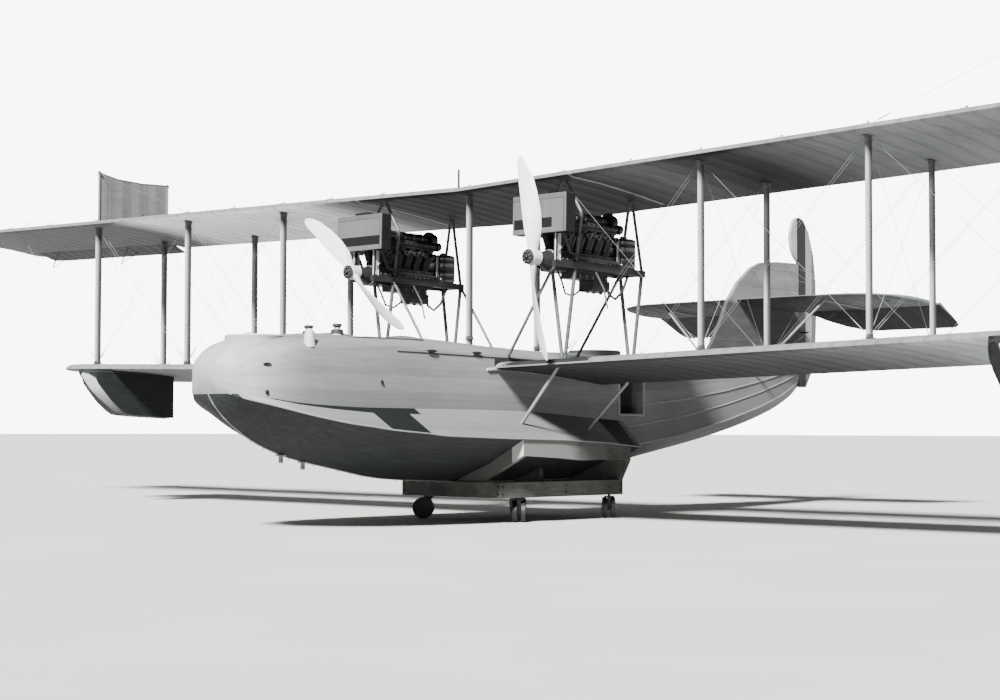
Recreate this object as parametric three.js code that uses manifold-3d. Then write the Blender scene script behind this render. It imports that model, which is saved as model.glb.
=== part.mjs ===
// Twin-engine biplane flying boat of about 1918, parked on its handling truck.
// Millimetres. +X is the port side, +Y runs aft, +Z is up, and the truck's wheels stand on Z = 0.
// Lengths along the boat are measured from the front wing spar, and the whole is then moved so
// that its origin lies under the middle of its length.

import * as THREE from "three";
import { mergeVertices } from "three/addons/utils/BufferGeometryUtils.js";
import Module from "manifold-3d";

const wasm = await Module();
wasm.setup();

// Driving dimensions of the wings
const CHORD = 2438;
const REAR_SPAR_Y = 1583;
const DIHEDRAL = Math.tan(THREE.MathUtils.degToRad(1.343));
const INCIDENCE = THREE.MathUtils.degToRad(6.1); // of the upper wing
const LOWER_INCIDENCE = THREE.MathUtils.degToRad(4.5);
const UPPER_SPAR_Z = 5168; // under the upper wing, on the centre line
const STRUT_LENGTH = 2694;
const SPAR_DEPTH = 139;
const LOWER_SPAR_Z = UPPER_SPAR_Z - STRUT_LENGTH - SPAR_DEPTH;
const UPPER_HALF_SPAN = 15815;
const LOWER_HALF_SPAN = 11330;
const CENTRE_HALF_SPAN = 2350;
const BAY_STATIONS = [4649, 7440, 10379];

// Driving dimensions of the rest
const MID_LENGTH_Y = 2175;
const HULL_HALF_BEAM = 850;
const STERN_Y = 8985;
const ENGINE_X = 2020;
const THRUST_Z = 4000; // thrust line at the front spar
const THRUST_TILT = THREE.MathUtils.degToRad(1.2);
const PROPELLER_RADIUS = 1575;
const PROPELLER_Y = -680;
const FLOAT_X = 9750;
const SEAT_GAP = 0.3; // between faces that touch on the real boat

// Paints, fabrics and metals
const finish = (color, roughness, metalness = 0) =>
  new THREE.MeshStandardMaterial({ color, roughness, metalness });
const HULL_GREY = finish(0xb4b6b5, 0.55);
const FABRIC_GREY = finish(0xa9abaa, 0.5);
const SPRUCE_GREY = finish(0xb9bab6, 0.5);
const ENGINE_BLACK = finish(0x1d1e1f, 0.45, 0.6);
const RADIATOR_GREY = finish(0xa2a4a3, 0.5, 0.3);
const TANK_DARK = finish(0x3c3e3f, 0.4, 0.5);
const PROPELLER_WHITE = finish(0xdedfdb, 0.35);
const FLOAT_DARK = finish(0x3a3c3d, 0.5);
const TRUCK_TIMBER = finish(0x5a5c5b, 0.8);
const CASTER_IRON = finish(0x2c2d2e, 0.6, 0.7);

// Solids

// A closed three.js geometry as a solid that can be cut and joined.
function solid(geometry) {
  const bare = new THREE.BufferGeometry();
  bare.setAttribute("position", geometry.getAttribute("position").clone());
  if (geometry.index) bare.setIndex(geometry.index.clone());
  const merged = mergeVertices(bare, 1e-3);
  const corners = Array.from(merged.index.array);
  const kept = [];
  for (let i = 0; i < corners.length; i += 3) {
    const [a, b, c] = corners.slice(i, i + 3);
    if (a !== b && b !== c && c !== a) kept.push(a, b, c);
  }
  const body = new wasm.Manifold(new wasm.Mesh({
    numProp: 3,
    vertProperties: new Float32Array(merged.getAttribute("position").array),
    triVerts: new Uint32Array(kept),
  }));
  if (body.volume() <= 0) throw new Error("a solid is inside out");
  return body;
}

function geometryOf(body) {
  const mesh = body.getMesh();
  const geometry = new THREE.BufferGeometry();
  geometry.setAttribute("position", new THREE.BufferAttribute(mesh.vertProperties, 3));
  geometry.setIndex(new THREE.BufferAttribute(mesh.triVerts, 1));
  geometry.computeVertexNormals();
  return geometry;
}

const joined = (bodies) => bodies.reduce((whole, body) => whole.add(body));
const mirrored = (body) => body.mirror([1, 0, 0]);
const moved = (body, x, y, z) => body.translate([x, y, z]);

// The largest of the separate pieces of a body.
function largest(body) {
  return body.decompose().sort((a, b) => b.volume() - a.volume())[0];
}

// A body cut back from a neighbour, which is moved towards it by the gap of a seat along each
// of the given directions in turn.
const seatedOn = (body, neighbour, ...directions) => directions.reduce((cut, [x, y, z]) =>
  cut.subtract(moved(neighbour, x * SEAT_GAP, y * SEAT_GAP, z * SEAT_GAP)), body);
const UP = [0, 0, 1];
const DOWN = [0, 0, -1];
const FORWARD = [0, -1, 0];
const AFT = [0, 1, 0];
const OUTBOARD = [1, 0, 0];

function box(x0, x1, y0, y1, z0, z1) {
  const geometry = new THREE.BoxGeometry(x1 - x0, y1 - y0, z1 - z0);
  geometry.translate((x0 + x1) / 2, (y0 + y1) / 2, (z0 + z1) / 2);
  return solid(geometry);
}

// A round bar from one point to another.
function bar(from, to, radius, sides = 8, radiusTo = radius) {
  const start = new THREE.Vector3(...from);
  const run = new THREE.Vector3(...to).sub(start);
  const geometry = new THREE.CylinderGeometry(radiusTo, radius, run.length(), sides);
  geometry.translate(0, run.length() / 2, 0);
  geometry.applyQuaternion(new THREE.Quaternion().setFromUnitVectors(
    new THREE.Vector3(0, 1, 0), run.clone().normalize()));
  geometry.translate(...from);
  return solid(geometry);
}

// A closed skin through rings of points that all have the same count, with flat ends.
function loft(rings) {
  const count = rings[0].length;
  const positions = rings.flat().flatMap((p) => p.toArray());
  const faces = [];
  for (let r = 0; r + 1 < rings.length; r += 1) {
    for (let i = 0; i < count; i += 1) {
      const a = r * count + i;
      const b = r * count + ((i + 1) % count);
      faces.push([a, b, a + count], [b, b + count, a + count]);
    }
  }
  for (const [ring, flip] of [[0, true], [rings.length - 1, false]]) {
    for (const face of endFaces(rings[ring])) {
      const ordered = flip ? [face[0], face[2], face[1]] : face;
      faces.push(ordered.map((i) => ring * count + i));
    }
  }
  const outward = enclosed(positions, faces) > 0 ? faces : faces.map(([a, b, c]) => [a, c, b]);
  const geometry = new THREE.BufferGeometry();
  geometry.setAttribute("position", new THREE.Float32BufferAttribute(positions, 3));
  geometry.setIndex(outward.flat());
  return solid(geometry);
}

// The triangles of a flat ring, wound the way the ring runs.
function endFaces(ring) {
  const normal = new THREE.Vector3();
  ring.forEach((p, i) => normal.add(p.clone().cross(ring[(i + 1) % ring.length])));
  normal.normalize();
  const across = new THREE.Vector3(normal.z, normal.x, normal.y).cross(normal).normalize();
  const up = normal.clone().cross(across);
  const flat = ring.map((p) => new THREE.Vector2(p.dot(across), p.dot(up)));
  return THREE.ShapeUtils.triangulateShape(flat, []);
}

function enclosed(positions, faces) {
  const corner = (i) => new THREE.Vector3().fromArray(positions, i * 3);
  return faces.reduce((sum, [a, b, c]) => sum + corner(a).dot(corner(b).cross(corner(c))), 0);
}

// A flat outline of [along, up] points given thickness across X, Y or Z.
function plate(outline, thickness, centre, across) {
  const half = thickness / 2;
  const place = {
    x: (u, v, t) => new THREE.Vector3(centre + t, u, v),
    y: (u, v, t) => new THREE.Vector3(u, centre + t, v),
    z: (u, v, t) => new THREE.Vector3(u, v, centre + t),
  }[across];
  return loft([-half, half].map((t) => outline.map(([u, v]) => place(u, v, t))));
}

// Wings

// Section of the wing as shares of the chord, from the nose round to the tail.
// columns: [along, above, below]
const SECTION = [
  [0.000, 0.018, 0.012],
  [0.015, 0.035, 0.004],
  [0.050, 0.051, 0.002],
  [0.123, 0.063, 0.006],
  [0.300, 0.072, 0.013],
  [0.500, 0.066, 0.014],
  [0.720, 0.047, 0.010],
  [0.880, 0.025, 0.005],
  [1.000, 0.007, 0.001],
];
const SPAR_SHARE = 0.123;
const SPAR_UNDER = 0.006;

const incidenceOf = (sparZ) => (sparZ === LOWER_SPAR_Z ? LOWER_INCIDENCE : INCIDENCE);

// Height under the wing at a place in plan.
function underWing(sparZ, x, y) {
  return sparZ + Math.abs(x) * DIHEDRAL - y * Math.tan(incidenceOf(sparZ));
}

// The ring of one rib between two shares of the full chord. The wing turns about its front spar.
function rib(sparZ, x, from = 0, to = 1) {
  const shares = [from, ...SECTION.map(([s]) => s).filter((s) => s > from && s < to), to];
  const heightAt = (share, column) => {
    const next = Math.max(1, SECTION.findIndex(([s]) => s >= share));
    const [a, b] = [SECTION[next - 1], SECTION[next]];
    return THREE.MathUtils.mapLinear(share, a[0], b[0], a[column], b[column]);
  };
  const tilt = incidenceOf(sparZ);
  const place = (share, height) => {
    const u = (share - SPAR_SHARE) * CHORD;
    const w = (height - SPAR_UNDER) * CHORD;
    return new THREE.Vector3(
      x,
      u * Math.cos(tilt) + w * Math.sin(tilt),
      sparZ + Math.abs(x) * DIHEDRAL - u * Math.sin(tilt) + w * Math.cos(tilt),
    );
  };
  const above = shares.map((s) => place(s, heightAt(s, 1)));
  const below = shares.map((s) => place(s, heightAt(s, 2)));
  return [...above, ...below.reverse()];
}

// Plan of the rounded tips: how far in from the tip, and the shares where the outline runs.
// columns: [inboard of the tip mm, nose share, tail share]
const UPPER_TIP = [
  [900, 0.00, 1.00],
  [500, 0.05, 1.00],
  [230, 0.14, 0.99],
  [60, 0.30, 0.96],
  [0, 0.46, 0.90],
];
const LOWER_TIP = [
  [620, 0.00, 1.00],
  [260, 0.01, 1.00],
  [70, 0.06, 0.98],
  [0, 0.16, 0.90],
];

const TIP_LIFT = 40; // height of the mid line of a tip over the underside at the spar

// Rings of a wing panel have one count, so a tip's rib is squeezed between its shares.
function tipRib(sparZ, x, nose, tail) {
  const ring = rib(sparZ, x);
  const full = rib(sparZ, x, 0, 1);
  const tilt = incidenceOf(sparZ);
  const chordLine = (share) => {
    const u = (share - SPAR_SHARE) * CHORD;
    return new THREE.Vector3(
      x,
      u * Math.cos(tilt),
      sparZ + Math.abs(x) * DIHEDRAL - u * Math.sin(tilt) + TIP_LIFT,
    );
  };
  const start = chordLine(0);
  const span = chordLine(1).sub(start);
  const thin = Math.sqrt(tail - nose);
  return ring.map((p, i) => {
    const share = full[i].clone().sub(start).dot(span) / span.lengthSq();
    const onLine = chordLine(share);
    const height = p.clone().sub(onLine).multiplyScalar(thin);
    return chordLine(nose + share * (tail - nose)).add(height);
  });
}
function wingPanel(sparZ, root, tip, tipTable) {
  const rings = [rib(sparZ, root)];
  for (const [inboard, nose, tail] of tipTable) {
    rings.push(nose === 0 ? rib(sparZ, tip - inboard) : tipRib(sparZ, tip - inboard, nose, tail));
  }
  return loft(rings);
}

// Hull

// Half outlines of the hull, from the bow to the stern post.
// columns: [y, keel z, chine x, chine z, fin top x, fin top z, deck edge x, deck edge z, crown z]
const HULL_STATIONS = [
  [-5250, 2130, 70, 2140, 100, 2165, 100, 2240, 2300],
  [-5170, 1970, 300, 1985, 330, 2030, 330, 2260, 2440],
  [-5050, 1780, 480, 1895, 500, 1950, 480, 2300, 2560],
  [-4850, 1580, 690, 1830, 650, 1900, 610, 2360, 2680],
  [-4530, 1360, 920, 1735, 745, 1860, 710, 2430, 2750],
  [-4190, 1190, 1090, 1640, 790, 1815, 770, 2500, 2785],
  [-3670, 1020, 1270, 1530, 830, 1780, 815, 2560, 2820],
  [-2910, 870, 1420, 1430, 850, 1755, 845, 2600, 2850],
  [-1910, 700, 1515, 1345, 850, 1750, 850, 2590, 2860],
  [-600, 635, 1525, 1305, 850, 1745, 850, 2565, 2810],
  [600, 610, 1500, 1280, 850, 1720, 850, 2545, 2745],
  [1700, 615, 1405, 1235, 850, 1650, 850, 2525, 2715],
  [2749, 635, 1250, 1160, 845, 1590, 845, 2515, 2715],
  [2750, 745, 880, 1150, 843, 1480, 843, 2515, 2715],
  [4240, 1000, 800, 1330, 765, 1640, 740, 2535, 2745],
  [5940, 1290, 620, 1620, 590, 1900, 560, 2620, 2840],
  [7150, 1550, 460, 1870, 430, 2130, 400, 2720, 2920],
  [8100, 1820, 290, 2110, 270, 2340, 250, 2800, 2970],
  [8750, 2100, 140, 2340, 130, 2500, 120, 2870, 3000],
  [STERN_Y, 2270, 45, 2450, 45, 2600, 45, 2900, 3010],
];
const CROWN_STEPS = 6;
const BOTTOM_HOLLOW = 0.42; // height of the bottom half-way out, as a share of its rise
const STEP_ROW = 13; // the first row behind the step in the bottom
const ROWS_BETWEEN = 2;

// Rows with more rows between them, on fair curves that don't swing past the rows themselves.
function fairRows(rows) {
  const rise = (i, column) =>
    (rows[i + 1][column] - rows[i][column]) / (rows[i + 1][0] - rows[i][0]);
  const slope = (i, column) => {
    if (i === 0) return rise(0, column);
    if (i === rows.length - 1) return rise(i - 1, column);
    const [before, after] = [rise(i - 1, column), rise(i, column)];
    return before * after > 0 ? 2 * before * after / (before + after) : 0;
  };
  return rows.flatMap((row, i) => {
    const next = rows[i + 1];
    if (!next) return [row];
    const length = next[0] - row[0];
    return Array.from({ length: ROWS_BETWEEN + 1 }, (_, k) => {
      const t = k / (ROWS_BETWEEN + 1);
      const [t2, t3] = [t * t, t * t * t];
      return row.map((value, column) => column === 0 ? value + length * t
        : (2 * t3 - 3 * t2 + 1) * value + (t3 - 2 * t2 + t) * length * slope(i, column)
          + (3 * t2 - 2 * t3) * next[column] + (t3 - t2) * length * slope(i + 1, column));
    });
  });
}

function hullRing([y, keelZ, chineX, chineZ, finX, finZ, edgeX, edgeZ, crownZ]) {
  const half = [
    [chineX / 2, keelZ + (chineZ - keelZ) * BOTTOM_HOLLOW],
    [chineX, chineZ],
    [finX, finZ],
    [edgeX, edgeZ],
  ];
  for (let i = 1; i < CROWN_STEPS; i += 1) {
    const angle = (i / CROWN_STEPS) * Math.PI / 2;
    half.push([edgeX * Math.cos(angle), edgeZ + (crownZ - edgeZ) * Math.sin(angle)]);
  }
  return [[0, keelZ], ...half, [0, crownZ]].map(([x, z]) => new THREE.Vector3(x, y, z));
}

// Round openings in the deck. columns: [y, radius, floor z, ring outer radius, ring top z]
const ROUND_COCKPITS = [
  [-4330, 370, 1900, 430, 2765],
  [3020, 390, 1900, 450, 2770],
];

// Rooms under the deck, the pilots' opening and the side hatches.
// columns: [half width, y from, y to, z from, z to]
const HULL_ROOMS = [
  [560, -4100, -1500, 1760, 2440],
  [560, 2450, 3650, 1700, 2420],
  [560, -2950, -1620, 1760, 3200],
  [1200, 2700, 3340, 1710, 2250],
];

// Pilots' seats. columns: [x centre]
const SEATS = [-300, 300];
const SEAT = { width: 420, front: -2480, back: -2060, floor: 1600, top: 2060, backTop: 2520 };

function makeHull() {
  const rows = [...fairRows(HULL_STATIONS.slice(0, STEP_ROW)),
    ...fairRows(HULL_STATIONS.slice(STEP_ROW))];
  const portHalf = loft(rows.map(hullRing));
  let hull = portHalf.add(mirrored(portHalf));
  for (const [y, , , outer, top] of ROUND_COCKPITS) {
    hull = hull.add(bar([0, y, 2300], [0, y, top], outer, 32));
  }
  for (const [y, radius, floor] of ROUND_COCKPITS) {
    hull = hull.subtract(bar([0, y, floor], [0, y, 3200], radius, 32));
  }
  for (const [halfWidth, y0, y1, z0, z1] of HULL_ROOMS) {
    hull = hull.subtract(box(-halfWidth, halfWidth, y0, y1, z0, z1));
  }
  for (const x of SEATS) {
    const half = SEAT.width / 2;
    hull = hull.add(box(x - half, x + half, SEAT.front, SEAT.back, SEAT.floor, SEAT.top));
    hull = hull.add(box(x - half, x + half, SEAT.back - 60, SEAT.back, SEAT.floor, SEAT.backTop));
  }
  return hull;
}

// Wind screens ahead of the pilots. columns: [name, x]
const WIND_SCREENS = [["port", 320], ["starboard", -320]];
const SCREEN = {
  y: -3062, foot: 2500, shoulder: 2885, neckTop: 2955, top: 2985,
  radius: 84, neckRadius: 46, capRadius: 64, sides: 20,
};

// A low round pedestal with a neck and a cap.
function makeWindScreen(x, hull) {
  const c = SCREEN;
  const level = (from, to, radius, radiusTo) =>
    bar([x, c.y, from], [x, c.y, to], radius, c.sides, radiusTo);
  const screen = joined([
    level(c.foot, c.shoulder, c.radius, c.radius * 0.94),
    level(c.shoulder - 1, c.neckTop, c.neckRadius * 1.2, c.neckRadius),
    level(c.neckTop - 1, c.top, c.capRadius, c.capRadius * 0.9),
  ]);
  return seatedOn(screen, hull, UP);
}

// Streamlined upright between two heights. The section is a rounded lens, long fore and aft.
const STRUT = { length: 150, width: 56, sides: 10 };

function upright(x, y, z0, z1, length = STRUT.length, width = STRUT.width) {
  const ring = (z) => Array.from({ length: STRUT.sides }, (_, i) => {
    const angle = (i / STRUT.sides) * Math.PI * 2;
    return new THREE.Vector3(
      x + Math.sin(angle) * width / 2, y + Math.cos(angle) * length / 2, z);
  });
  return loft([ring(z0), ring(z1)]);
}

// Hinges of a control surface: brackets with pins on the fixed side, notches and bores on the
// moving side. Along is the unit direction of the hinge line.
const HINGE = { pin: 9, bore: 10.2, halfWidth: 18, pinOut: 42, slack: 6 };

function hingeParts(points, along, back) {
  const turn = new THREE.Matrix4().makeBasis(
    along, back, along.clone().cross(back));
  const placed = (geometry, point) => {
    geometry.applyMatrix4(turn);
    geometry.translate(...point.toArray());
    return solid(geometry);
  };
  const across = (radius, length, sides) => {
    const geometry = new THREE.CylinderGeometry(radius, radius, length, sides);
    geometry.rotateZ(Math.PI / 2);
    return geometry;
  };
  const slab = (halfWidth, forward, aft, halfHeight) => {
    const geometry = new THREE.BoxGeometry(halfWidth * 2, forward + aft, halfHeight * 2);
    geometry.translate(0, (aft - forward) / 2, 0);
    return geometry;
  };
  const brackets = points.map((p) =>
    placed(slab(HINGE.halfWidth, 75, 18, 14), p).add(placed(across(HINGE.pin, HINGE.pinOut * 2, 8), p)));
  const notches = points.map((p) =>
    placed(slab(HINGE.halfWidth + HINGE.slack, 90, 32, 90), p)
      .add(placed(across(HINGE.bore, HINGE.pinOut * 2 + 6, 10), p)));
  return { brackets, notches };
}

// Ailerons, behind the upper wing's rear spar.
const AILERON = { inner: 10430, outer: 15300, hingeShare: 0.835, chord: 470, droop: 17 };
const AILERON_HINGES = [10900, 12850, 14800];
const AILERON_HORNS = [11950, 14560];
const AILERON_LIMIT_CLEAR = 9;

function aileronHinge(x) {
  const u = (AILERON.hingeShare - SPAR_SHARE) * CHORD;
  const w = 0.014 * CHORD;
  return new THREE.Vector3(
    x,
    u * Math.cos(INCIDENCE) + w * Math.sin(INCIDENCE),
    UPPER_SPAR_Z + x * DIHEDRAL - u * Math.sin(INCIDENCE) + w * Math.cos(INCIDENCE),
  );
}
const HINGE_DIRECTION = new THREE.Vector3(1, 0, DIHEDRAL).normalize();
const CHORD_BACK = new THREE.Vector3(0, Math.cos(INCIDENCE), -Math.sin(INCIDENCE))
  .sub(HINGE_DIRECTION.clone().multiplyScalar(-Math.sin(INCIDENCE) * HINGE_DIRECTION.z)).normalize();

// Section of a control surface behind its hinge: a round nose and a thin tail.
function flapRing(hinge, back, up, noseRadius, chord, tailHalf = 6) {
  const nose = [90, 130, 180, 230, 270].map((degrees) => {
    const angle = THREE.MathUtils.degToRad(degrees);
    return [Math.cos(angle) * noseRadius, Math.sin(angle) * noseRadius];
  });
  const outline = [...nose, [chord, -tailHalf], [chord, tailHalf]];
  return outline.map(([b, u]) =>
    hinge.clone().addScaledVector(back, b).addScaledVector(up, u));
}

// The slot in a fixed surface that a moving one's nose turns in.
function slotFor(start, end, along, back, radius, length) {
  const up = along.clone().cross(back).normalize();
  const ring = (p) => {
    const nose = [90, 125, 160, 200, 235, 270].map((degrees) => {
      const angle = THREE.MathUtils.degToRad(degrees);
      return [Math.cos(angle) * radius, Math.sin(angle) * radius];
    });
    const outline = [[0, 200], ...nose.map(([b, u]) => [b, u]), [0, -200], [length, -200],
      [length, 200]];
    return outline.map(([b, u]) => p.clone().addScaledVector(back, b).addScaledVector(up, u));
  };
  return loft([ring(start), ring(end)]);
}

function makeAileron() {
  const droop = THREE.MathUtils.degToRad(AILERON.droop);
  const up = HINGE_DIRECTION.clone().cross(CHORD_BACK).normalize();
  const back = CHORD_BACK.clone().multiplyScalar(Math.cos(droop))
    .addScaledVector(up, -Math.sin(droop));
  const lift = HINGE_DIRECTION.clone().cross(back).normalize();
  // columns: [x, share of the full chord]
  const stations = [[AILERON.inner, 1], [14700, 1], [AILERON.outer - 60, 0.94], [AILERON.outer, 0.8]];
  let body = loft(stations.map(([x, share]) =>
    flapRing(aileronHinge(x), back, lift, 33, AILERON.chord * share)));
  for (const x of AILERON_HORNS) {
    const p = aileronHinge(x);
    const foot = p.clone().addScaledVector(back, 60);
    const tip = foot.clone().addScaledVector(lift, -400);
    body = body.add(bar(foot.clone().addScaledVector(lift, -10).toArray(), tip.toArray(), 16, 8, 10));
    body = body.add(bar(p.clone().addScaledVector(back, 330).toArray(), tip.toArray(), 7, 6));
  }
  const hinges = hingeParts(AILERON_HINGES.map(aileronHinge), HINGE_DIRECTION, CHORD_BACK);
  return {
    body: body.subtract(joined(hinges.notches)),
    brackets: joined(hinges.brackets),
    slot: slotFor(aileronHinge(AILERON.inner - 12), aileronHinge(AILERON.outer + 12),
      HINGE_DIRECTION, CHORD_BACK, 33 + AILERON_LIMIT_CLEAR, 900),
  };
}

// Mast on the upper wing, and the two fabric panels on king posts over the outer struts.
const MAST = { x: -130, y: -120, radius: 17, top: 5590 };
const PANEL = { frontZ: 6530, rearZ: 6410, sagZ: 6390, post: 24, thickness: 14, rearY: 1640 };

function makeTopPanel(wing) {
  const x = BAY_STATIONS[2];
  const foot = (y) => underWing(UPPER_SPAR_Z, x, y) + 60;
  const sheet = plate([
    [0, foot(0)], [PANEL.rearY, foot(PANEL.rearY)], [PANEL.rearY, PANEL.rearZ],
    [PANEL.rearY * 0.62, PANEL.sagZ], [PANEL.rearY * 0.3, PANEL.sagZ + 30], [0, PANEL.frontZ],
  ], PANEL.thickness, x, "x");
  const posts = [[0, PANEL.frontZ], [PANEL.rearY, PANEL.rearZ]].map(([y, top]) =>
    bar([x, y, foot(y)], [x, y, top + 15], PANEL.post, 10));
  return seatedOn(joined([sheet, ...posts]), wing, UP);
}

// Tip float, sharp in front with a bottom that flattens aft.
// columns: [y, half width, chine z, keel z]
const FLOAT_STATIONS = [
  [-790, 60, 2525, 2470],
  [-725, 165, 2505, 2375],
  [-612, 232, 2425, 2230],
  [-560, 247, 2313, 2180],
  [-435, 258, 2165, 2065],
  [-257, 262, 1975, 1935],
  [-54, 262, 1804, 1785],
  [78, 262, 1725, 1708],
  [270, 262, 1700, 1685],
  [1200, 255, 1660, 1645],
];
const FLOAT_TOP_Z = 2585;

function makeFloat(lowerWing) {
  const rings = FLOAT_STATIONS.map(([y, half, chine, keel]) => [
    [0, keel], [half, chine], [half, FLOAT_TOP_Z], [-half, FLOAT_TOP_Z], [-half, chine],
  ].map(([x, z]) => new THREE.Vector3(FLOAT_X + x, y, z)));
  return largest(seatedOn(loft(rings), lowerWing, DOWN, FORWARD));
}

// Engine bay, in a frame whose Y axis is the thrust line
const BEARER = { x: 225, halfWidth: 38, bottom: -130, top: -30, front: -470, back: 1630 };
const RADIATOR = { halfWidth: 535, front: -560, back: -350, bottom: 372, top: 955, leg: 26 };
const CRANKCASE = {
  halfWidth: 172, front: -330, back: 980, bottom: -175, top: 130, flange: 262, flangeGap: 60,
};
const BANK_ANGLES = [-22.5, 22.5];
const CYLINDERS = { count: 6, first: -215, pitch: 212, radius: 74, from: 60, to: 540 };
const SHAFT = { radius: 35, end: -715 };

function makeEngine() {
  const c = CRANKCASE;
  const parts = [
    box(-c.halfWidth, c.halfWidth, c.front, c.back, c.bottom, c.top),
    box(-c.flange, c.flange, c.front, -c.flangeGap, BEARER.top + SEAT_GAP, BEARER.top + 26),
    box(-c.flange, c.flange, c.flangeGap, c.back, BEARER.top + SEAT_GAP, BEARER.top + 26),
    bar([0, c.front + 5, -20], [0, -560, 0], 165, 16, 85),
    bar([0, -400, 0], [0, SHAFT.end, 0], SHAFT.radius, 24),
    box(-110, 110, 60, 900, -260, c.bottom + 5),
    box(-150, 150, 520, 900, -420, -255),
    bar([0, -60, 690], [0, 1060, 690], 84, 10),
    bar([0, 1040, 690], [0, 1130, 690], 118, 12),
    box(-60, 60, -40, 960, 120, 640),
    bar([0, 975, 60], [0, 1090, 60], 130, 12),
  ];
  for (const degrees of BANK_ANGLES) {
    const lean = THREE.MathUtils.degToRad(degrees);
    const at = (y, height) => [Math.sin(lean) * height, y, Math.cos(lean) * height];
    for (let i = 0; i < CYLINDERS.count; i += 1) {
      const y = CYLINDERS.first + i * CYLINDERS.pitch;
      parts.push(bar(at(y, CYLINDERS.from), at(y, CYLINDERS.to), CYLINDERS.radius, 8));
    }
    const length = CYLINDERS.pitch * (CYLINDERS.count - 1) + 150;
    const cover = new THREE.BoxGeometry(104, length, 80);
    cover.translate(0, CYLINDERS.first - 75 + length / 2, CYLINDERS.to + 30);
    cover.rotateY(lean);
    parts.push(solid(cover));
  }
  return joined(parts);
}

function makeRadiator() {
  const r = RADIATOR;
  const parts = [
    box(-r.halfWidth, r.halfWidth, r.front, r.back, r.bottom, r.top),
    box(-150, 150, r.front + 30, r.back - 20, r.top - 5, r.top + 45),
  ];
  for (const x of [-BEARER.x, BEARER.x]) {
    parts.push(box(x - r.leg, x + r.leg, -450, -420, BEARER.top + SEAT_GAP, r.bottom + 5));
  }
  return joined(parts);
}

// Oil tank behind the engine, on the bearers.
const OIL_TANK = { halfWidth: 245, front: 1105, back: 1490, top: 450, corner: 60 };

function makeOilTank() {
  const t = OIL_TANK;
  const bottom = BEARER.top + SEAT_GAP;
  return plate([
    [t.front + t.corner, bottom], [t.back - t.corner, bottom], [t.back, bottom + t.corner],
    [t.back, t.top - t.corner], [t.back - t.corner, t.top], [t.front + t.corner, t.top],
    [t.front, t.top - t.corner], [t.front, bottom + t.corner],
  ], t.halfWidth * 2, 0, "x");
}

// One blade, swept like a scimitar. columns: [radius, chord, sweep, thickness, pitch degrees]
const BLADE = [
  [60, 150, 0, 120, 70],
  [230, 205, 18, 84, 58],
  [420, 262, 30, 56, 46],
  [680, 288, 22, 38, 35],
  [980, 270, -10, 26, 27],
  [1260, 232, -58, 18, 22],
  [1460, 172, -108, 12, 20],
  [1550, 92, -136, 8, 19],
  [PROPELLER_RADIUS, 30, -144, 5, 19],
];
const BLADE_SIDES = 10;

function makeBlade() {
  return loft(BLADE.map(([radius, chord, sweep, thickness, degrees]) => {
    const pitch = THREE.MathUtils.degToRad(90 - degrees);
    return Array.from({ length: BLADE_SIDES }, (_, i) => {
      const angle = (i / BLADE_SIDES) * Math.PI * 2;
      const c = Math.cos(angle) * chord / 2;
      const t = Math.sin(angle) * thickness / 2;
      return new THREE.Vector3(
        sweep + c * Math.sin(pitch) + t * Math.cos(pitch),
        PROPELLER_Y + c * Math.cos(pitch) - t * Math.sin(pitch), radius);
    });
  }));
}

const HUB = { radius: 118, front: -762, back: -598, plateRadius: 96, plateFront: -800 };

function makePropeller(bladeAngle) {
  const blade = makeBlade();
  const wood = joined([
    blade, blade.rotate([0, 180, 0]),
    bar([0, HUB.front, 0], [0, HUB.back, 0], HUB.radius, 24),
    bar([0, HUB.plateFront, 0], [0, HUB.front + 5, 0], HUB.plateRadius, 24),
  ]);
  const bored = wood.subtract(
    bar([0, SHAFT.end - 6, 0], [0, HUB.back + 20, 0], SHAFT.radius + 0.5, 24));
  return bored.rotate([0, bladeAngle, 0]);
}

// Engine mounting: front and rear diamonds of struts, bearers and stays to the hull.
// columns: [y, widest half width, widest z]
const DIAMONDS = [
  [0, 360, 4720],
  [REAR_SPAR_Y, 225, 3905],
];
const MOUNT_BAR = 30;

function toBay(body) {
  return moved(body.rotate([-THREE.MathUtils.radToDeg(THRUST_TILT), 0, 0]), ENGINE_X, 0, THRUST_Z);
}

function makeMount(lowerWing, upperWing, hull) {
  const parts = [];
  for (const x of [-BEARER.x, BEARER.x]) {
    parts.push(toBay(box(x - BEARER.halfWidth, x + BEARER.halfWidth, BEARER.front, BEARER.back,
      BEARER.bottom, BEARER.top)));
  }
  parts.push(toBay(box(-BEARER.x, BEARER.x, BEARER.back - 110, BEARER.back - 30, -120, -45)));
  for (const [y, half, widestZ] of DIAMONDS) {
    const footZ = underWing(LOWER_SPAR_Z, ENGINE_X, y) + SPAR_DEPTH - 45;
    const headZ = underWing(UPPER_SPAR_Z, ENGINE_X, y) + 45;
    for (const side of [-1, 1]) {
      const foot = [ENGINE_X + side * 22, y, footZ];
      const widest = [ENGINE_X + side * half, y, widestZ];
      const head = [ENGINE_X + side * 22, y, headZ];
      parts.push(bar(foot, widest, MOUNT_BAR), bar(widest, head, MOUNT_BAR * 0.85));
    }
    const bearerZ = THRUST_Z + (BEARER.bottom + BEARER.top) / 2 - y * Math.tan(THRUST_TILT);
    parts.push(bar([ENGINE_X - BEARER.x, y, bearerZ],
      [HULL_HALF_BEAM - 45, y, 2500], MOUNT_BAR * 0.8));
  }
  const offWings = seatedOn(seatedOn(joined(parts), lowerWing, UP), upperWing, DOWN);
  return largest(seatedOn(offWings, hull, OUTBOARD));
}

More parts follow.
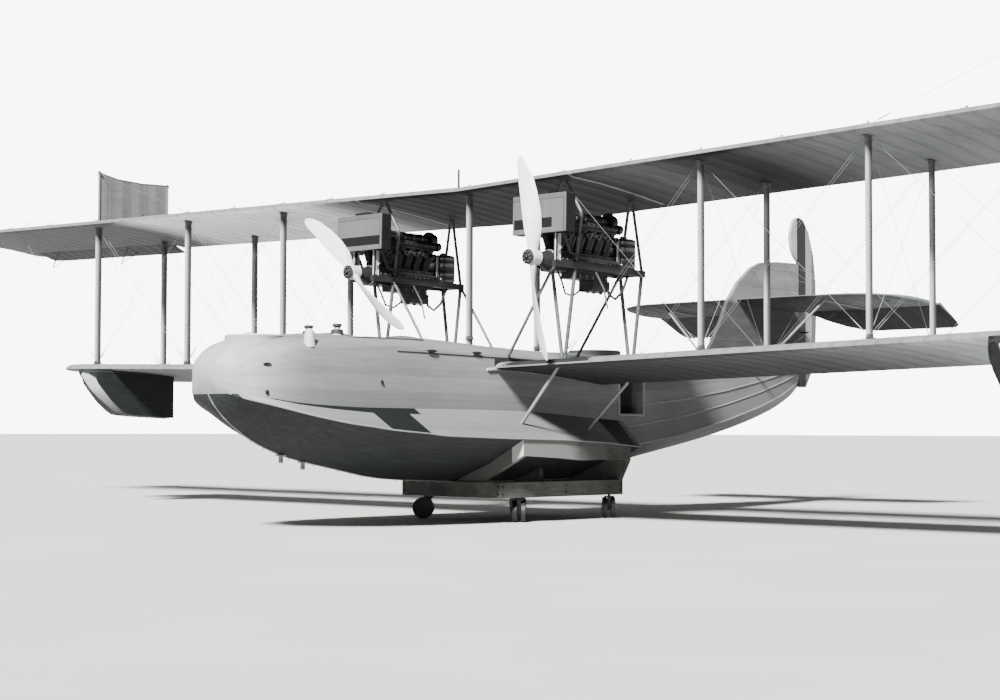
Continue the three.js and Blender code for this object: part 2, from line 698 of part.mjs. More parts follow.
// Fin, rudder, stabiliser and elevators
const RUDDER_AXIS_Y = 9040;
const FIN_HALF = 42;
const RUDDER_HALF = 32;
const FIN_OUTLINE = [
  [6080, 2700], [6120, 2860], [6300, 3090], [6550, 3470], [6760, 3850], [7070, 4200],
  [7480, 4490], [7790, 4610], [8300, 4655], [STERN_Y + 5, 4665], [STERN_Y + 5, 2700],
];
const RUDDER_OUTLINE = [
  [9240, 2270], [9430, 2560], [9560, 3000], [9600, 3600], [9585, 4300], [9510, 4850],
  [9350, 5300], [9180, 5510], [9040, 5570], [8900, 5540], [8800, 5400], [8750, 5150],
  [8790, 4940], [8900, 4780], [RUDDER_AXIS_Y - RUDDER_HALF, 4700],
  [RUDDER_AXIS_Y - RUDDER_HALF, 2270],
];
const RUDDER_HINGES = [3130, 4000, 4540];
const RUDDER_HORN = { z: 3330, reach: 210 };

const STABILISER = {
  noseZ: 3865, hingeY: 8790, hingeZ: 3735, half: 52, noseY: 7000, thinTail: 26,
};
// Plan of one half. columns: [x, nose y, tail y]
const STABILISER_PLAN = [
  [0, 7000, 8790],
  [2150, 7030, 8790],
  [2550, 7110, 8790],
  [2850, 7270, 8790],
  [3040, 7480, 8790],
  [3150, 7800, 8790],
  [3200, 8200, 8780],
];
// Plan of one elevator. columns: [x, chord behind the hinge]
const ELEVATOR_PLAN = [
  [330, 110],
  [560, 400],
  [850, 650],
  [1150, 810],
  [1450, 858],
  [3080, 858],
  [3200, 800],
  [3245, 660],
];
const ELEVATOR_DROOP = 27;
const ELEVATOR_HINGES = [700, 1850, 3000];
const ELEVATOR_HORN_X = 1350;

function stabiliserZ(y) {
  return THREE.MathUtils.mapLinear(y, STABILISER.noseY, STABILISER.hingeY,
    STABILISER.noseZ, STABILISER.hingeZ);
}

// Lens of the stabiliser between its nose and tail. columns: [share, half thickness share]
const STABILISER_SECTION = [[0, 0.12], [0.04, 0.5], [0.2, 0.95], [0.45, 1], [0.8, 0.75], [1, 0.52]];

function stabiliserRing(x, nose, tail) {
  const half = STABILISER.half * Math.min(1, (tail - nose) / 1100 + 0.15);
  const point = (share, thickness) => {
    const y = nose + (tail - nose) * share;
    return new THREE.Vector3(x, y, stabiliserZ(y) + thickness * half);
  };
  const above = STABILISER_SECTION.map(([share, t]) => point(share, t));
  const below = STABILISER_SECTION.map(([share, t]) => point(share, -t));
  return [...above, ...below.reverse()];
}

function elevatorParts() {
  const along = new THREE.Vector3(1, 0, 0);
  const flatBack = new THREE.Vector3(0, 1, 0);
  const angle = THREE.MathUtils.degToRad(ELEVATOR_DROOP);
  const back = new THREE.Vector3(0, Math.cos(angle), -Math.sin(angle));
  const up = along.clone().cross(back);
  const axisY = STABILISER.hingeY + 45;
  const axis = (x) => new THREE.Vector3(x, axisY, STABILISER.hingeZ - 3);
  const rings = ELEVATOR_PLAN.map(([x, chord]) => flapRing(axis(x), back, up, 28, chord, 5));
  const horn = axis(ELEVATOR_HORN_X);
  const rod = (length) => bar(horn.clone().addScaledVector(back, 50).toArray(),
    horn.clone().addScaledVector(back, 50).addScaledVector(up, length).toArray(), 13, 8, 8);
  const hinges = hingeParts(ELEVATOR_HINGES.map(axis), along, flatBack);
  return {
    body: joined([loft(rings), rod(250), rod(-250)]).subtract(joined(hinges.notches)),
    brackets: joined(hinges.brackets),
  };
}

function makeStabiliser(brackets) {
  const half = STABILISER_PLAN.map((row) => stabiliserRing(...row));
  const other = STABILISER_PLAN.slice(1).map(([x, nose, tail]) => stabiliserRing(-x, nose, tail));
  const sheet = loft([...other.reverse(), ...half]);
  return joined([sheet, brackets, mirrored(brackets)]);
}

function rudderHinges() {
  const points = RUDDER_HINGES.map((z) => new THREE.Vector3(0, RUDDER_AXIS_Y, z));
  return hingeParts(points, new THREE.Vector3(0, 0, 1), new THREE.Vector3(0, 1, 0));
}

function makeFin(hull, stabiliser) {
  const sheet = seatedOn(plate(FIN_OUTLINE, FIN_HALF * 2, 0, "x"), hull, UP);
  const whole = joined([sheet, ...rudderHinges().brackets]);
  return largest(seatedOn(whole, stabiliser, UP, DOWN, FORWARD, AFT));
}

function makeRudder() {
  const sheet = plate(RUDDER_OUTLINE, RUDDER_HALF * 2, 0, "x");
  const arm = bar([-RUDDER_HORN.reach, RUDDER_AXIS_Y + 40, RUDDER_HORN.z],
    [RUDDER_HORN.reach, RUDDER_AXIS_Y + 40, RUDDER_HORN.z], 14, 8);
  return joined([sheet, arm]).subtract(joined(rudderHinges().notches));
}

// Stays under the stabiliser, port side. columns: [foot x, foot y, foot z, head x, head y]
const TAIL_STAYS = [
  [470, 7000, 2500, 1900, 7250],
  [240, 8350, 2600, 1900, 8500],
];

function makeTailStays(stabiliser, hull) {
  const bars = TAIL_STAYS.map(([x0, y0, z0, x1, y1]) =>
    bar([x0 - 60, y0, z0 - 40], [x1, y1, stabiliserZ(y1) + 5], 22, 8));
  const tie = bar([1860, 7245, stabiliserZ(7250) - 75], [1860, 8505, stabiliserZ(8500) - 75], 14, 8);
  return largest(seatedOn(seatedOn(joined([...bars, tie]), stabiliser, DOWN), hull, OUTBOARD));
}

// Braces from the side fins to the lower wing, port side.
// columns: [name, y, foot x, foot z, head x, head z]
const FIN_BRACES = [
  ["front", 0, 1135, 1520, 1925, 2410],
  ["rear", REAR_SPAR_Y, 1110, 1430, 1970, 2195],
];

function makeBrace(y, footX, footZ, headX, headZ, hull, lowerWing) {
  const whole = bar([footX, y, footZ], [headX, y, headZ], 27, 10);
  return largest(seatedOn(seatedOn(whole, lowerWing, DOWN), hull, OUTBOARD, UP));
}

// Handling truck under the hull
const TRUCK = {
  halfWidth: 1100, beam: 95, front: -420, back: 2470, bottom: 385, top: 625, middle: 1030,
  railWidth: 115, underChine: 10, chockFront: -330, chockFoot: 620, innerChock: 560,
};
// Rails. columns: [y, depth]
const RAIL_STATIONS = [[-330, 245], [600, 275], [1100, 292], [1700, 262], [2470, 230]];

// The outer top edge of a rail under the chine.
function railEdge(y) {
  const aft = HULL_STATIONS.findIndex((row) => row[0] > y);
  const [a, b] = [HULL_STATIONS[aft - 1], HULL_STATIONS[aft]];
  const between = (column) => THREE.MathUtils.mapLinear(y, a[0], b[0], a[column], b[column]);
  return [between(2) - TRUCK.underChine * 2, between(3) - TRUCK.underChine];
}

function makeTruck(hull) {
  const t = TRUCK;
  const sill = box(t.halfWidth - t.beam, t.halfWidth, t.front, t.back, t.bottom, t.top);
  const rail = loft(RAIL_STATIONS.map(([y, depth]) => {
    const [x, z] = railEdge(y);
    return [[x - t.railWidth, z - depth], [x, z - depth], [x, z],
      [x - t.railWidth, z]].map(([u, v]) => new THREE.Vector3(u, y, v));
  }));
  const beams = [t.front, t.middle, t.back - t.beam].map((y) =>
    box(-t.halfWidth, t.halfWidth, y, y + t.beam, t.bottom, t.top));
  // A chock stands on the frame and reaches out to the rails or only under the keel.
  const chock = (y, foot, [x, z], depth) => plate([
    [-foot, t.bottom], [foot, t.bottom], [foot, t.top], [x, z - depth], [x, z],
    [-x, z], [-x, z - depth], [-foot, t.top],
  ], t.beam, y + t.beam / 2, "y");
  const chocks = [
    chock(t.chockFront, t.chockFoot, railEdge(t.chockFront + t.beam), 240),
    chock(t.middle, t.innerChock, [t.innerChock, 1000], 200),
    chock(t.back - t.beam, t.halfWidth, railEdge(t.back), 225),
  ];
  const whole = joined([sill, mirrored(sill), rail, mirrored(rail), ...beams, ...chocks]);
  let frame = largest(seatedOn(whole, hull, DOWN));
  for (const [, x, y] of CASTERS) {
    frame = frame.subtract(bar([x, y, t.bottom - 5], [x, y, CASTER.pinTop + 8],
      CASTER.pinRadius + 0.5, 20));
  }
  return frame;
}

// Casters. columns: [name, x, y, heading degrees]
const CASTERS = [
  ["front_port", 1010, 85, 44],
  ["front_starboard", -1010, 85, 130],
  ["rear_port", 1010, 2230, 46],
  ["rear_starboard", -1010, 2230, 60],
];
const CASTER = {
  wheelRadius: 170, wheelSides: 32, trail: 85, web: 26, webGap: 8, tread: 66,
  axle: 19, pinRadius: 22, pinTop: 470, forkTop: 362, plateRadius: 82,
};

function makeFork() {
  const c = CASTER;
  const web = plate([
    [c.trail - 45, c.wheelRadius - 45], [c.trail + 45, c.wheelRadius - 45],
    [c.trail + 45, c.wheelRadius + 30], [70, c.forkTop - 14], [-70, c.forkTop - 14],
  ], c.web * 2, 0, "x");
  return joined([
    web,
    bar([0, 0, c.forkTop - 18], [0, 0, c.forkTop], c.plateRadius, 20),
    bar([0, 0, c.forkTop - 5], [0, 0, c.pinTop], c.pinRadius, 20),
  ]).subtract(bar([-60, c.trail, c.wheelRadius], [60, c.trail, c.wheelRadius], c.axle + 0.6, 20));
}

function makeWheel() {
  const c = CASTER;
  const inner = c.web + c.webGap;
  const corner = c.wheelRadius / Math.cos(Math.PI / c.wheelSides);
  const disc = (from, to) => {
    const geometry = new THREE.CylinderGeometry(corner, corner, to - from, c.wheelSides);
    geometry.rotateY(Math.PI / c.wheelSides);
    geometry.rotateZ(Math.PI / 2);
    geometry.translate((from + to) / 2, c.trail, c.wheelRadius);
    return solid(geometry);
  };
  return joined([
    disc(inner, inner + c.tread), disc(-inner - c.tread, -inner),
    bar([-inner - 5, c.trail, c.wheelRadius], [inner + 5, c.trail, c.wheelRadius], c.axle, 20),
  ]);
}

// Assembly
const flyingBoat = new THREE.Group();
flyingBoat.position.y = -MID_LENGTH_Y;

function add(name, body, material, parent = flyingBoat) {
  const mesh = new THREE.Mesh(geometryOf(body), material);
  mesh.name = name;
  parent.add(mesh);
  return mesh;
}

// One body a side: the port one as made, the starboard one mirrored.
function addPair(name, body, material) {
  add(`${name}_port`, body, material);
  add(`${name}_starboard`, mirrored(body), material);
}

const hull = makeHull();
const aileron = makeAileron();
const upperOuter = wingPanel(UPPER_SPAR_Z, CENTRE_HALF_SPAN + SEAT_GAP, UPPER_HALF_SPAN, UPPER_TIP)
  .subtract(aileron.slot).add(aileron.brackets);
const centreSheet = loft([-CENTRE_HALF_SPAN, 0, CENTRE_HALF_SPAN].map((x) => rib(UPPER_SPAR_Z, x)));
const upperCentre = centreSheet.add(
  bar([MAST.x, MAST.y, UPPER_SPAR_Z + 60], [MAST.x, MAST.y, MAST.top], MAST.radius, 10));
const lowerWing = wingPanel(LOWER_SPAR_Z, HULL_HALF_BEAM + SEAT_GAP, LOWER_HALF_SPAN, LOWER_TIP);

add("hull", hull, HULL_GREY);
for (const [side, x] of WIND_SCREENS) {
  add(`wind_screen_${side}`, makeWindScreen(x, hull), SPRUCE_GREY);
}
add("upper_wing_centre", upperCentre, FABRIC_GREY);
addPair("upper_wing", upperOuter, FABRIC_GREY);
addPair("aileron", aileron.body, FABRIC_GREY);
addPair("lower_wing", lowerWing, FABRIC_GREY);
addPair("top_panel", makeTopPanel(upperOuter), FABRIC_GREY);
addPair("tip_float", makeFloat(lowerWing), FLOAT_DARK);

const bothRows = [["front", 0], ["rear", REAR_SPAR_Y]];
for (const [row, y] of bothRows) {
  const top = underWing(UPPER_SPAR_Z, 0, y) + 40;
  const centreStrut = upright(0, y, 2650, top);
  add(`centre_strut_${row}`, seatedOn(seatedOn(centreStrut, upperCentre, DOWN), hull, UP),
    SPRUCE_GREY);
  BAY_STATIONS.forEach((x, bay) => {
    const head = underWing(UPPER_SPAR_Z, x, y) + 40;
    const foot = underWing(LOWER_SPAR_Z, x, y) + SPAR_DEPTH - 40;
    const strut = upright(x, y, foot, head);
    addPair(`strut_${bay + 1}_${row}`,
      seatedOn(seatedOn(strut, upperOuter, DOWN), lowerWing, UP), SPRUCE_GREY);
  });
}

addPair("engine_mount", makeMount(lowerWing, upperCentre, hull), SPRUCE_GREY);

// columns: [side, x, blade angle from upright]
const ENGINE_BAYS = [["port", ENGINE_X, -6], ["starboard", -ENGINE_X, -47]];
for (const [side, x, bladeAngle] of ENGINE_BAYS) {
  const bay = new THREE.Group();
  bay.position.set(x, 0, THRUST_Z);
  bay.rotation.x = -THRUST_TILT;
  flyingBoat.add(bay);
  add(`engine_${side}`, makeEngine(), ENGINE_BLACK, bay);
  add(`radiator_${side}`, makeRadiator(), RADIATOR_GREY, bay);
  add(`oil_tank_${side}`, makeOilTank(), TANK_DARK, bay);
  add(`propeller_${side}`, makePropeller(bladeAngle), PROPELLER_WHITE, bay);
}

const elevator = elevatorParts();
const stabiliser = makeStabiliser(elevator.brackets);
add("stabiliser", stabiliser, FABRIC_GREY);
add("fin", makeFin(hull, stabiliser), FABRIC_GREY);
add("rudder", makeRudder(), FABRIC_GREY);
addPair("elevator", elevator.body, FABRIC_GREY);
addPair("tail_stays", makeTailStays(stabiliser, hull), SPRUCE_GREY);
for (const [row, ...brace] of FIN_BRACES) {
  addPair(`fin_brace_${row}`, makeBrace(...brace, hull, lowerWing), SPRUCE_GREY);
}

add("truck_frame", makeTruck(hull), TRUCK_TIMBER);
for (const [place, x, y, heading] of CASTERS) {
  const caster = new THREE.Group();
  caster.position.set(x, y, 0);
  caster.rotation.z = THREE.MathUtils.degToRad(heading);
  flyingBoat.add(caster);
  add(`caster_fork_${place}`, makeFork(), CASTER_IRON, caster);
  add(`caster_wheel_${place}`, makeWheel(), CASTER_IRON, caster);
}

export default flyingBoat;
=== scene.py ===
"""Looks of a twin-engine biplane flying boat that is parked on its handling truck.

Each operator finishes some of the model's solids and adds the small parts that go with them.
Everything is in metres, and lengths along the boat are measured aft from the front wing spar."""

import math

import bmesh
import bpy
from bpy.props import FloatProperty, FloatVectorProperty, PointerProperty
from mathutils import Matrix, Vector
from mathutils.bvhtree import BVHTree


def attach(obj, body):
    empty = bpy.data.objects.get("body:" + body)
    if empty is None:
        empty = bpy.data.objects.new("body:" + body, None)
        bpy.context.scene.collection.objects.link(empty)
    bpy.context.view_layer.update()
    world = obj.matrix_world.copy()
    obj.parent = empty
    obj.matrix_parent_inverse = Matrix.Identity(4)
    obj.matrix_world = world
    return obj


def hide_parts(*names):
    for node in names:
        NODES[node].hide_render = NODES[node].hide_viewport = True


bl_info = {
    "name": "Flying boat finishes",
    "version": (1, 0, 0),
    "blender": (4, 5, 0),
    "location": "3D View > Sidebar > Flying Boat",
    "description": "Paint, fabric, rigging and small parts for a flying boat on its truck",
    "category": "Object",
}

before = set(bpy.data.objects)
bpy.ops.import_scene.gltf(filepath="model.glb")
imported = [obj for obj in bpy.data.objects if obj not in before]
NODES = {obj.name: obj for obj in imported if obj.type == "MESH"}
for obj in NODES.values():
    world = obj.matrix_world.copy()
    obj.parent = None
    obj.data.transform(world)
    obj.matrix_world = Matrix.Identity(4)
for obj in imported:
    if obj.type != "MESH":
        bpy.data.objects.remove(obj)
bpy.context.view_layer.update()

# Driving sizes of the model that the small parts are placed by
SPAR_Y = -2.175  # front wing spar in the part's frame
REAR_SPAR = 1.583
UPPER_TILT, LOWER_TILT = math.radians(6.1), math.radians(4.5)
WING_RISE = 0.02344  # per metre of span
SPAR_DEPTH = 0.139
UPPER_Z, LOWER_Z = 5.168, 2.335  # under the wings at the front spar, on the centre line
UPPER_TIP, LOWER_TIP = 15.815, 11.33
LOWER_ROOT = 0.85
CENTRE_HALF = 2.35
BAYS = (4.649, 7.44, 10.379)
ENGINE_X, THRUST_Z = 2.02, 4.0
THRUST_TILT = math.radians(1.2)
FLOAT_X = 9.75
WING_NOSE, WING_TAIL = -0.296, 2.128  # edges of the skin that tapes and strips reach
STRUT_HALF_WIDTH, STRUT_HALF_CHORD = 0.029, 0.077
OVERHANG_X = 13.2  # outer end of the wires that hold the overhanging tips
POST_TOPS = {0.0: 6.5, REAR_SPAR: 6.39}  # of the posts above the upper wing, by spar
STAB_Y, STAB_Z, STAB_FALL = 7.0, 3.865, 0.0726  # nose of the stabiliser, its fall per metre
CYLINDERS = [-0.215 + 0.212 * i for i in range(6)]  # places along each thrust line
SIDES = (("port", 1), ("starboard", -1))
SHARP = math.radians(32)  # edges of the small parts that are sharper than this stay crisp
UP, DOWN = Vector((0, 0, 1)), Vector((0, 0, -1))
PORT, AFT = Vector((1, 0, 0)), Vector((0, 1, 0))

# The photograph's viewpoint: place in metres, yaw, pitch and roll, and lens in picture widths
CAMERA_PLACE = (21.0436, -23.2751, 1.447)
CAMERA_TURN = [math.radians(angle) for angle in (43.9848, 2.4198, 0.1179)]
CAMERA_LENS = 1.87325
KEY_FROM = Vector((0.45, -1.08, 1))  # where the key light comes from

# Lines of the hull. columns: y, chine x, chine z, fin x, fin z, deck edge x, deck edge z
HULL_LINES = (
    (-5.250, 0.070, 2.140, 0.100, 2.165, 0.100, 2.240),
    (-5.170, 0.300, 1.985, 0.330, 2.030, 0.330, 2.260),
    (-5.050, 0.480, 1.895, 0.500, 1.950, 0.480, 2.300),
    (-4.850, 0.690, 1.830, 0.650, 1.900, 0.610, 2.360),
    (-4.530, 0.920, 1.735, 0.745, 1.860, 0.710, 2.430),
    (-4.190, 1.090, 1.640, 0.790, 1.815, 0.770, 2.500),
    (-3.670, 1.270, 1.530, 0.830, 1.780, 0.815, 2.560),
    (-2.910, 1.420, 1.430, 0.850, 1.755, 0.845, 2.600),
    (-1.910, 1.515, 1.345, 0.850, 1.750, 0.850, 2.590),
    (-0.600, 1.525, 1.305, 0.850, 1.745, 0.850, 2.565),
    (0.600, 1.500, 1.280, 0.850, 1.720, 0.850, 2.545),
    (1.700, 1.405, 1.235, 0.850, 1.650, 0.850, 2.525),
    (2.749, 1.250, 1.160, 0.845, 1.590, 0.845, 2.515),
    (2.750, 0.880, 1.150, 0.843, 1.480, 0.843, 2.515),
    (4.240, 0.800, 1.330, 0.765, 1.640, 0.740, 2.535),
    (5.940, 0.620, 1.620, 0.590, 1.900, 0.560, 2.620),
    (7.150, 0.460, 1.870, 0.430, 2.130, 0.400, 2.720),
    (8.100, 0.290, 2.110, 0.270, 2.340, 0.250, 2.800),
    (8.750, 0.140, 2.340, 0.130, 2.500, 0.120, 2.870),
    (8.985, 0.045, 2.450, 0.045, 2.600, 0.045, 2.900),
)
STEP_Y = 2.75
# Painted light under the wings: tones that lift the under dope along the span, standing in for
# light bounced and reflected from below. columns: x, tone
PAINTED_UNDER_LIGHT = ((-15.9, 1.6), (-13.0, 1.0), (-9.6, 1.3), (-8.6, 17.0), (-4.0, 20.0), (-3.0, 4.0),
              (-2.2, 0.3), (1.5, 0.1), (2.4, 0.5), (3.5, 2.2), (4.4, 0.3), (5.2, 0.05), (5.7, 1.3),
              (6.6, 2.8), (8.5, 4.0), (15.9, 6.0))
# Painted light under the lower wings, in the same way. columns: x, tone
PAINTED_LOWER_LIGHT = ((-11.4, 2.5), (-2.0, 2.0), (0.8, 0.15), (3.3, 0.25), (5.7, 0.5), (6.5, 1.1),
              (7.7, 3.2), (8.9, 8.0), (9.8, 13.0), (11.4, 15.0))
STRONGEST = 20.0  # the most that painted light may lift the under dope
# Painted shade and light under the stabiliser: dark near the hull, lifted outboard. columns: x,
# tone
PAINTED_TAIL_LIGHT = ((-3.3, 0.8), (1.5, 0.5), (1.9, 2.4), (3.3, 3.0))
COCKPITS = (("bow", -4.33, 0.4, 2.765), ("rear", 3.02, 0.42, 2.77))
PILOTS_WELL = (0.56, -2.95, -1.62)


# Places


def at(x, y, z):
    """A point that is given aft of the front spar, in the part's frame."""
    return Vector((x, y + SPAR_Y, z))


def under_wing(base, x, y):
    tilt = LOWER_TILT if base == LOWER_Z else UPPER_TILT
    return base + abs(x) * WING_RISE - y * math.tan(tilt)


def hull_line(y, column):
    """One of the hull's lines at a place along it."""
    for a, b in zip(HULL_LINES, HULL_LINES[1:]):
        if y <= b[0]:
            break
    share = (y - a[0]) / (b[0] - a[0])
    return a[column] + (b[column] - a[column]) * share


def engine_bay(sign):
    """The frame of an engine, whose Y axis is the thrust line."""
    place = Matrix.Translation(at(sign * ENGINE_X, 0, THRUST_Z))
    return place @ Matrix.Rotation(-THRUST_TILT, 4, "X")


SKINS = {}


def touch(node, start, direction):
    """Where a line first meets a solid, and the solid's normal there, or None."""
    if node not in SKINS:
        mesh = NODES[node].data
        SKINS[node] = BVHTree.FromPolygons(
            [v.co for v in mesh.vertices], [tuple(p.vertices) for p in mesh.polygons])
    spot, normal, _, _ = SKINS[node].ray_cast(Vector(start), Vector(direction))
    if spot is None:
        return None
    return spot, normal if normal.dot(direction) < 0 else -normal


def spaced(first, last, count):
    """Numbers from first to last, evenly spaced."""
    return [first + (last - first) * i / (count - 1) for i in range(count)]


def loop(middle, a, b, count):
    """Points round a closed loop, whose half axes are a and b."""
    return [middle + a * math.cos(t) + b * math.sin(t)
            for t in (math.tau * k / count for k in range(count))]


# Shapes


class Shape:
    """Closed solids that are gathered into one piece."""

    def __init__(self, turn=Matrix.Identity(4)):
        self.turn = turn
        self.points, self.faces, self.finishes = [], [], []

    def add(self, points, faces, finish=0):
        first = len(self.points)
        self.points += [self.turn @ Vector(p) for p in points]
        self.faces += [[first + i for i in face] for face in faces]
        self.finishes += [finish] * len(faces)

    def loft(self, rings, finish=0, closed=False):
        """A skin through rings of points, with flat ends unless it closes on itself."""
        count = len(rings[0])
        faces = []
        for r in range(len(rings) if closed else len(rings) - 1):
            a, b = r * count, (r + 1) % len(rings) * count
            faces += [(a + i, a + (i + 1) % count, b + (i + 1) % count, b + i)
                      for i in range(count)]
        if not closed:
            last = (len(rings) - 1) * count
            faces += [tuple(reversed(range(count))), tuple(range(last, last + count))]
        self.add([p for ring in rings for p in ring], faces, finish)

    def tube(self, points, radius, sides=8, finish=0, closed=False, flat=1.0):
        """A round bar along points. A list of radii gives one for each point."""
        points = [Vector(p) for p in points]
        radii = radius if isinstance(radius, (list, tuple)) else [radius] * len(points)
        rings, across, last = [], None, len(points) - 1
        for i, p in enumerate(points):
            before = points[i - 1] if i or closed else p
            after = points[(i + 1) % len(points)] if i < last or closed else p
            along = (after - before).normalized()
            across = across or along.orthogonal()
            across = (across - along * across.dot(along)).normalized()
            rings.append(loop(p, across * radii[i], along.cross(across) * flat * radii[i], sides))
        self.loft(rings, finish, closed)

    def box(self, middle, size, turn=None, edge=0.004):
        """A block with its edges taken off."""
        block = bmesh.new()
        bmesh.ops.create_cube(block, size=1)
        bmesh.ops.scale(block, vec=size, verts=block.verts)
        bmesh.ops.bevel(block, geom=block.edges[:], offset=min(edge, min(size) * 0.3), segments=1,
                        affect="EDGES")
        place = Matrix.Translation(Vector(middle)) @ (turn or Matrix.Identity(4)).to_4x4()
        self.add([place @ v.co for v in block.verts],
                 [[v.index for v in f.verts] for f in block.faces])
        block.free()

    def turned(self, foot, axis, profile, sides=16, finish=0):
        """A part turned about an axis. profile: along, radius"""
        foot, axis = Vector(foot), Vector(axis).normalized()
        a = axis.orthogonal().normalized()
        b = axis.cross(a)
        self.loft([loop(foot + axis * along, a * radius, b * radius, sides)
                   for along, radius in profile], finish)

    def bolt(self, spot, normal, radius):
        """A hexagon head on a washer."""
        self.turned(spot, normal, ((-0.002, radius * 1.7), (radius * 0.35, radius * 1.7)), 10)
        self.turned(spot, normal, ((0, radius), (radius * 1.1, radius),
                                   (radius * 1.3, radius * 0.8)), 6)

    def strip(self, spots, width, height, across):
        """A raised strip over spots on a skin, each a point and its normal."""
        rings = []
        for spot, normal in spots:
            side = (across - normal * across.dot(normal)).normalized() * width
            rings.append([spot - side * 0.5 - normal * 0.002, spot - side * 0.3 + normal * height,
                          spot + side * 0.3 + normal * height, spot + side * 0.5 - normal * 0.002])
        if len(rings) > 1:
            self.loft(rings)

    def make(self, name, body, slot, *materials):
        """Turns what was gathered into a piece that rides on a body."""
        mesh = bpy.data.meshes.new(name)
        mesh.from_pydata(self.points, [], self.faces)
        for material in materials:
            mesh.materials.append(material)
        for polygon, finish in zip(mesh.polygons, self.finishes):
            polygon.material_index = finish
        outward = bmesh.new()
        outward.from_mesh(mesh)
        bmesh.ops.recalc_face_normals(outward, faces=outward.faces)
        outward.to_mesh(mesh)
        outward.free()
        mesh.shade_smooth()
        mesh.set_sharp_from_angle(angle=SHARP)
        piece = bpy.data.objects.new(name, mesh)
        bpy.context.scene.collection.objects.link(piece)
        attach(piece, body)
        return piece


def finish_node(node, *materials, crisp=30):
    """Gives a solid of the model its finish, and smooth shading up to a crisp edge's angle."""
    solid = NODES[node]
    solid.data.materials.clear()
    for material in materials:
        solid.data.materials.append(material)
    if solid.data.has_custom_normals:
        with bpy.context.temp_override(object=solid, active_object=solid, selected_objects=[solid]):
            bpy.ops.mesh.customdata_custom_splitnormals_clear()
    solid.data.shade_smooth()
    weld = solid.modifiers.new("weld", "WELD")
    weld.merge_threshold = 1e-4
    split = solid.modifiers.new("crisp_edges", "EDGE_SPLIT")
    split.split_angle = math.radians(crisp)


# Materials


def srgb(text):
    """The linear colour, with alpha, of an sRGB hex value."""
    shares = [int(text[i:i + 2], 16) / 255 for i in (0, 2, 4)]
    return (*[s / 12.92 if s <= 0.04045 else ((s + 0.055) / 1.055) ** 2.4 for s in shares], 1.0)


def link(tree, node, links):
    """Sets inputs by name, or in order. A value is a number or colour, or a node or output."""
    for name, value in (links if isinstance(links, dict) else dict(enumerate(links))).items():
        if isinstance(value, bpy.types.Node):
            value = next(output for output in value.outputs if output.enabled)
        if isinstance(value, bpy.types.NodeSocket):
            tree.links.new(value, node.inputs[name])
        else:
            node.inputs[name].default_value = value


def add(tree, kind, links=(), stops=(), points=(), **settings):
    """Adds a node. Its kind may be followed by its operation, as in Math ADD."""
    kind, _, operation = kind.partition(" ")
    node = tree.nodes.new("ShaderNode" + kind)
    if operation:
        node.operation = operation
    for name, value in settings.items():
        setattr(node, name, value)
    link(tree, node, links)
    for i, (place, colour) in enumerate(stops):
        ramp = node.color_ramp.elements
        stop = ramp[i] if i < len(ramp) else ramp.new(place)
        stop.position, stop.color = place, colour
    for i, place in enumerate(points):
        curve = node.mapping.curves[0].points
        point = curve[i] if i < len(curve) else curve.new(*place)
        point.location, point.handle_type = place, "VECTOR"
    if points:
        node.mapping.update()
    return node


def start(name, roughness, metallic=0.0, **shader):
    """A new material, its tree, its shader and each point's place on the part in metres."""
    material = bpy.data.materials.new(name)
    material.use_nodes = True
    tree = material.node_tree
    tree.nodes.clear()
    surface = add(tree, "BsdfPrincipled",
                  {"Roughness": roughness, "Metallic": metallic, **shader})
    add(tree, "OutputMaterial", {"Surface": surface})
    return material, tree, surface, add(tree, "TexCoord").outputs["Object"]


def sited(tree, place):
    """A point's place and the way it faces, and how far it is aft of the spar and out."""
    parts = add(tree, "SeparateXYZ", (place,)).outputs
    facing = add(tree, "SeparateXYZ", (add(tree, "NewGeometry").outputs["True Normal"],)).outputs
    aft = add(tree, "Math SUBTRACT", (parts["Y"], SPAR_Y))
    return parts, facing, aft, add(tree, "Math ABSOLUTE", (parts["X"],))


def drawn_out(tree, place, stretch, scale, detail, rough=0.5):
    """Brush marks, grain or streaks: noise that is drawn out along the part."""
    drawn = add(tree, "Mapping", {"Vector": place, "Scale": stretch})
    return add(tree, "TexNoise",
               {"Vector": drawn, "Scale": scale, "Detail": detail, "Roughness": rough})


def halfway(tree, a, b):
    """The mean of two patterns."""
    return add(tree, "Math MULTIPLY", (add(tree, "Math ADD", (a, b)), 0.5))


def shades(colour, spread):
    """A darker and a lighter shade of a colour."""
    return ([*(c * (1 - spread) for c in colour[:3]), 1.0],
            [*(min(1, c * (1 + spread)) for c in colour[:3]), 1.0])


def shaded(tree, pattern, colour, spread, edges):
    """A colour that varies with a pattern, from its darker to its lighter shade."""
    dark, light = shades(colour, spread)
    tones = (dark, light) if len(edges) == 2 else (dark, tuple(colour), light)
    return add(tree, "ValToRGB", (pattern,), stops=tuple(zip(edges, tones)))


def painted_over(tree, coat, *layers):
    """A coat with others over it, each given by where it lies and its colour."""
    for where, over in layers:
        coat = add(tree, "Mix", {0: where, 6: coat, 7: over}, data_type="RGBA")
    return coat


def worn_coat(name, colour, roughness, metallic=0.0, spread=0.14, stretch=(1, 1, 1), patch=2.2,
              fine=45.0, bump=0.0008, coat=0.0, shine=0.5):
    """A coat that was put on by hand: soft patches of wear, and brush marks along stretch."""
    material, tree, surface, place = start(
        name, roughness, metallic, **{"Coat Weight": coat, "Specular IOR Level": shine})
    patches = drawn_out(tree, place, stretch, patch, 5.0, 0.6)
    marks = drawn_out(tree, place, stretch, fine, 3.0)
    link(tree, surface, {
        "Base Color": shaded(tree, halfway(tree, patches, marks), colour, spread,
                             (0.32, 0.52, 0.7)),
        "Roughness": add(tree, "MapRange", (patches, 0.3, 0.7, max(0.02, roughness - 0.1),
                                            min(1, roughness + 0.12))),
        "Normal": add(tree, "Bump", {"Height": marks, "Strength": 0.5, "Distance": bump})})
    return material


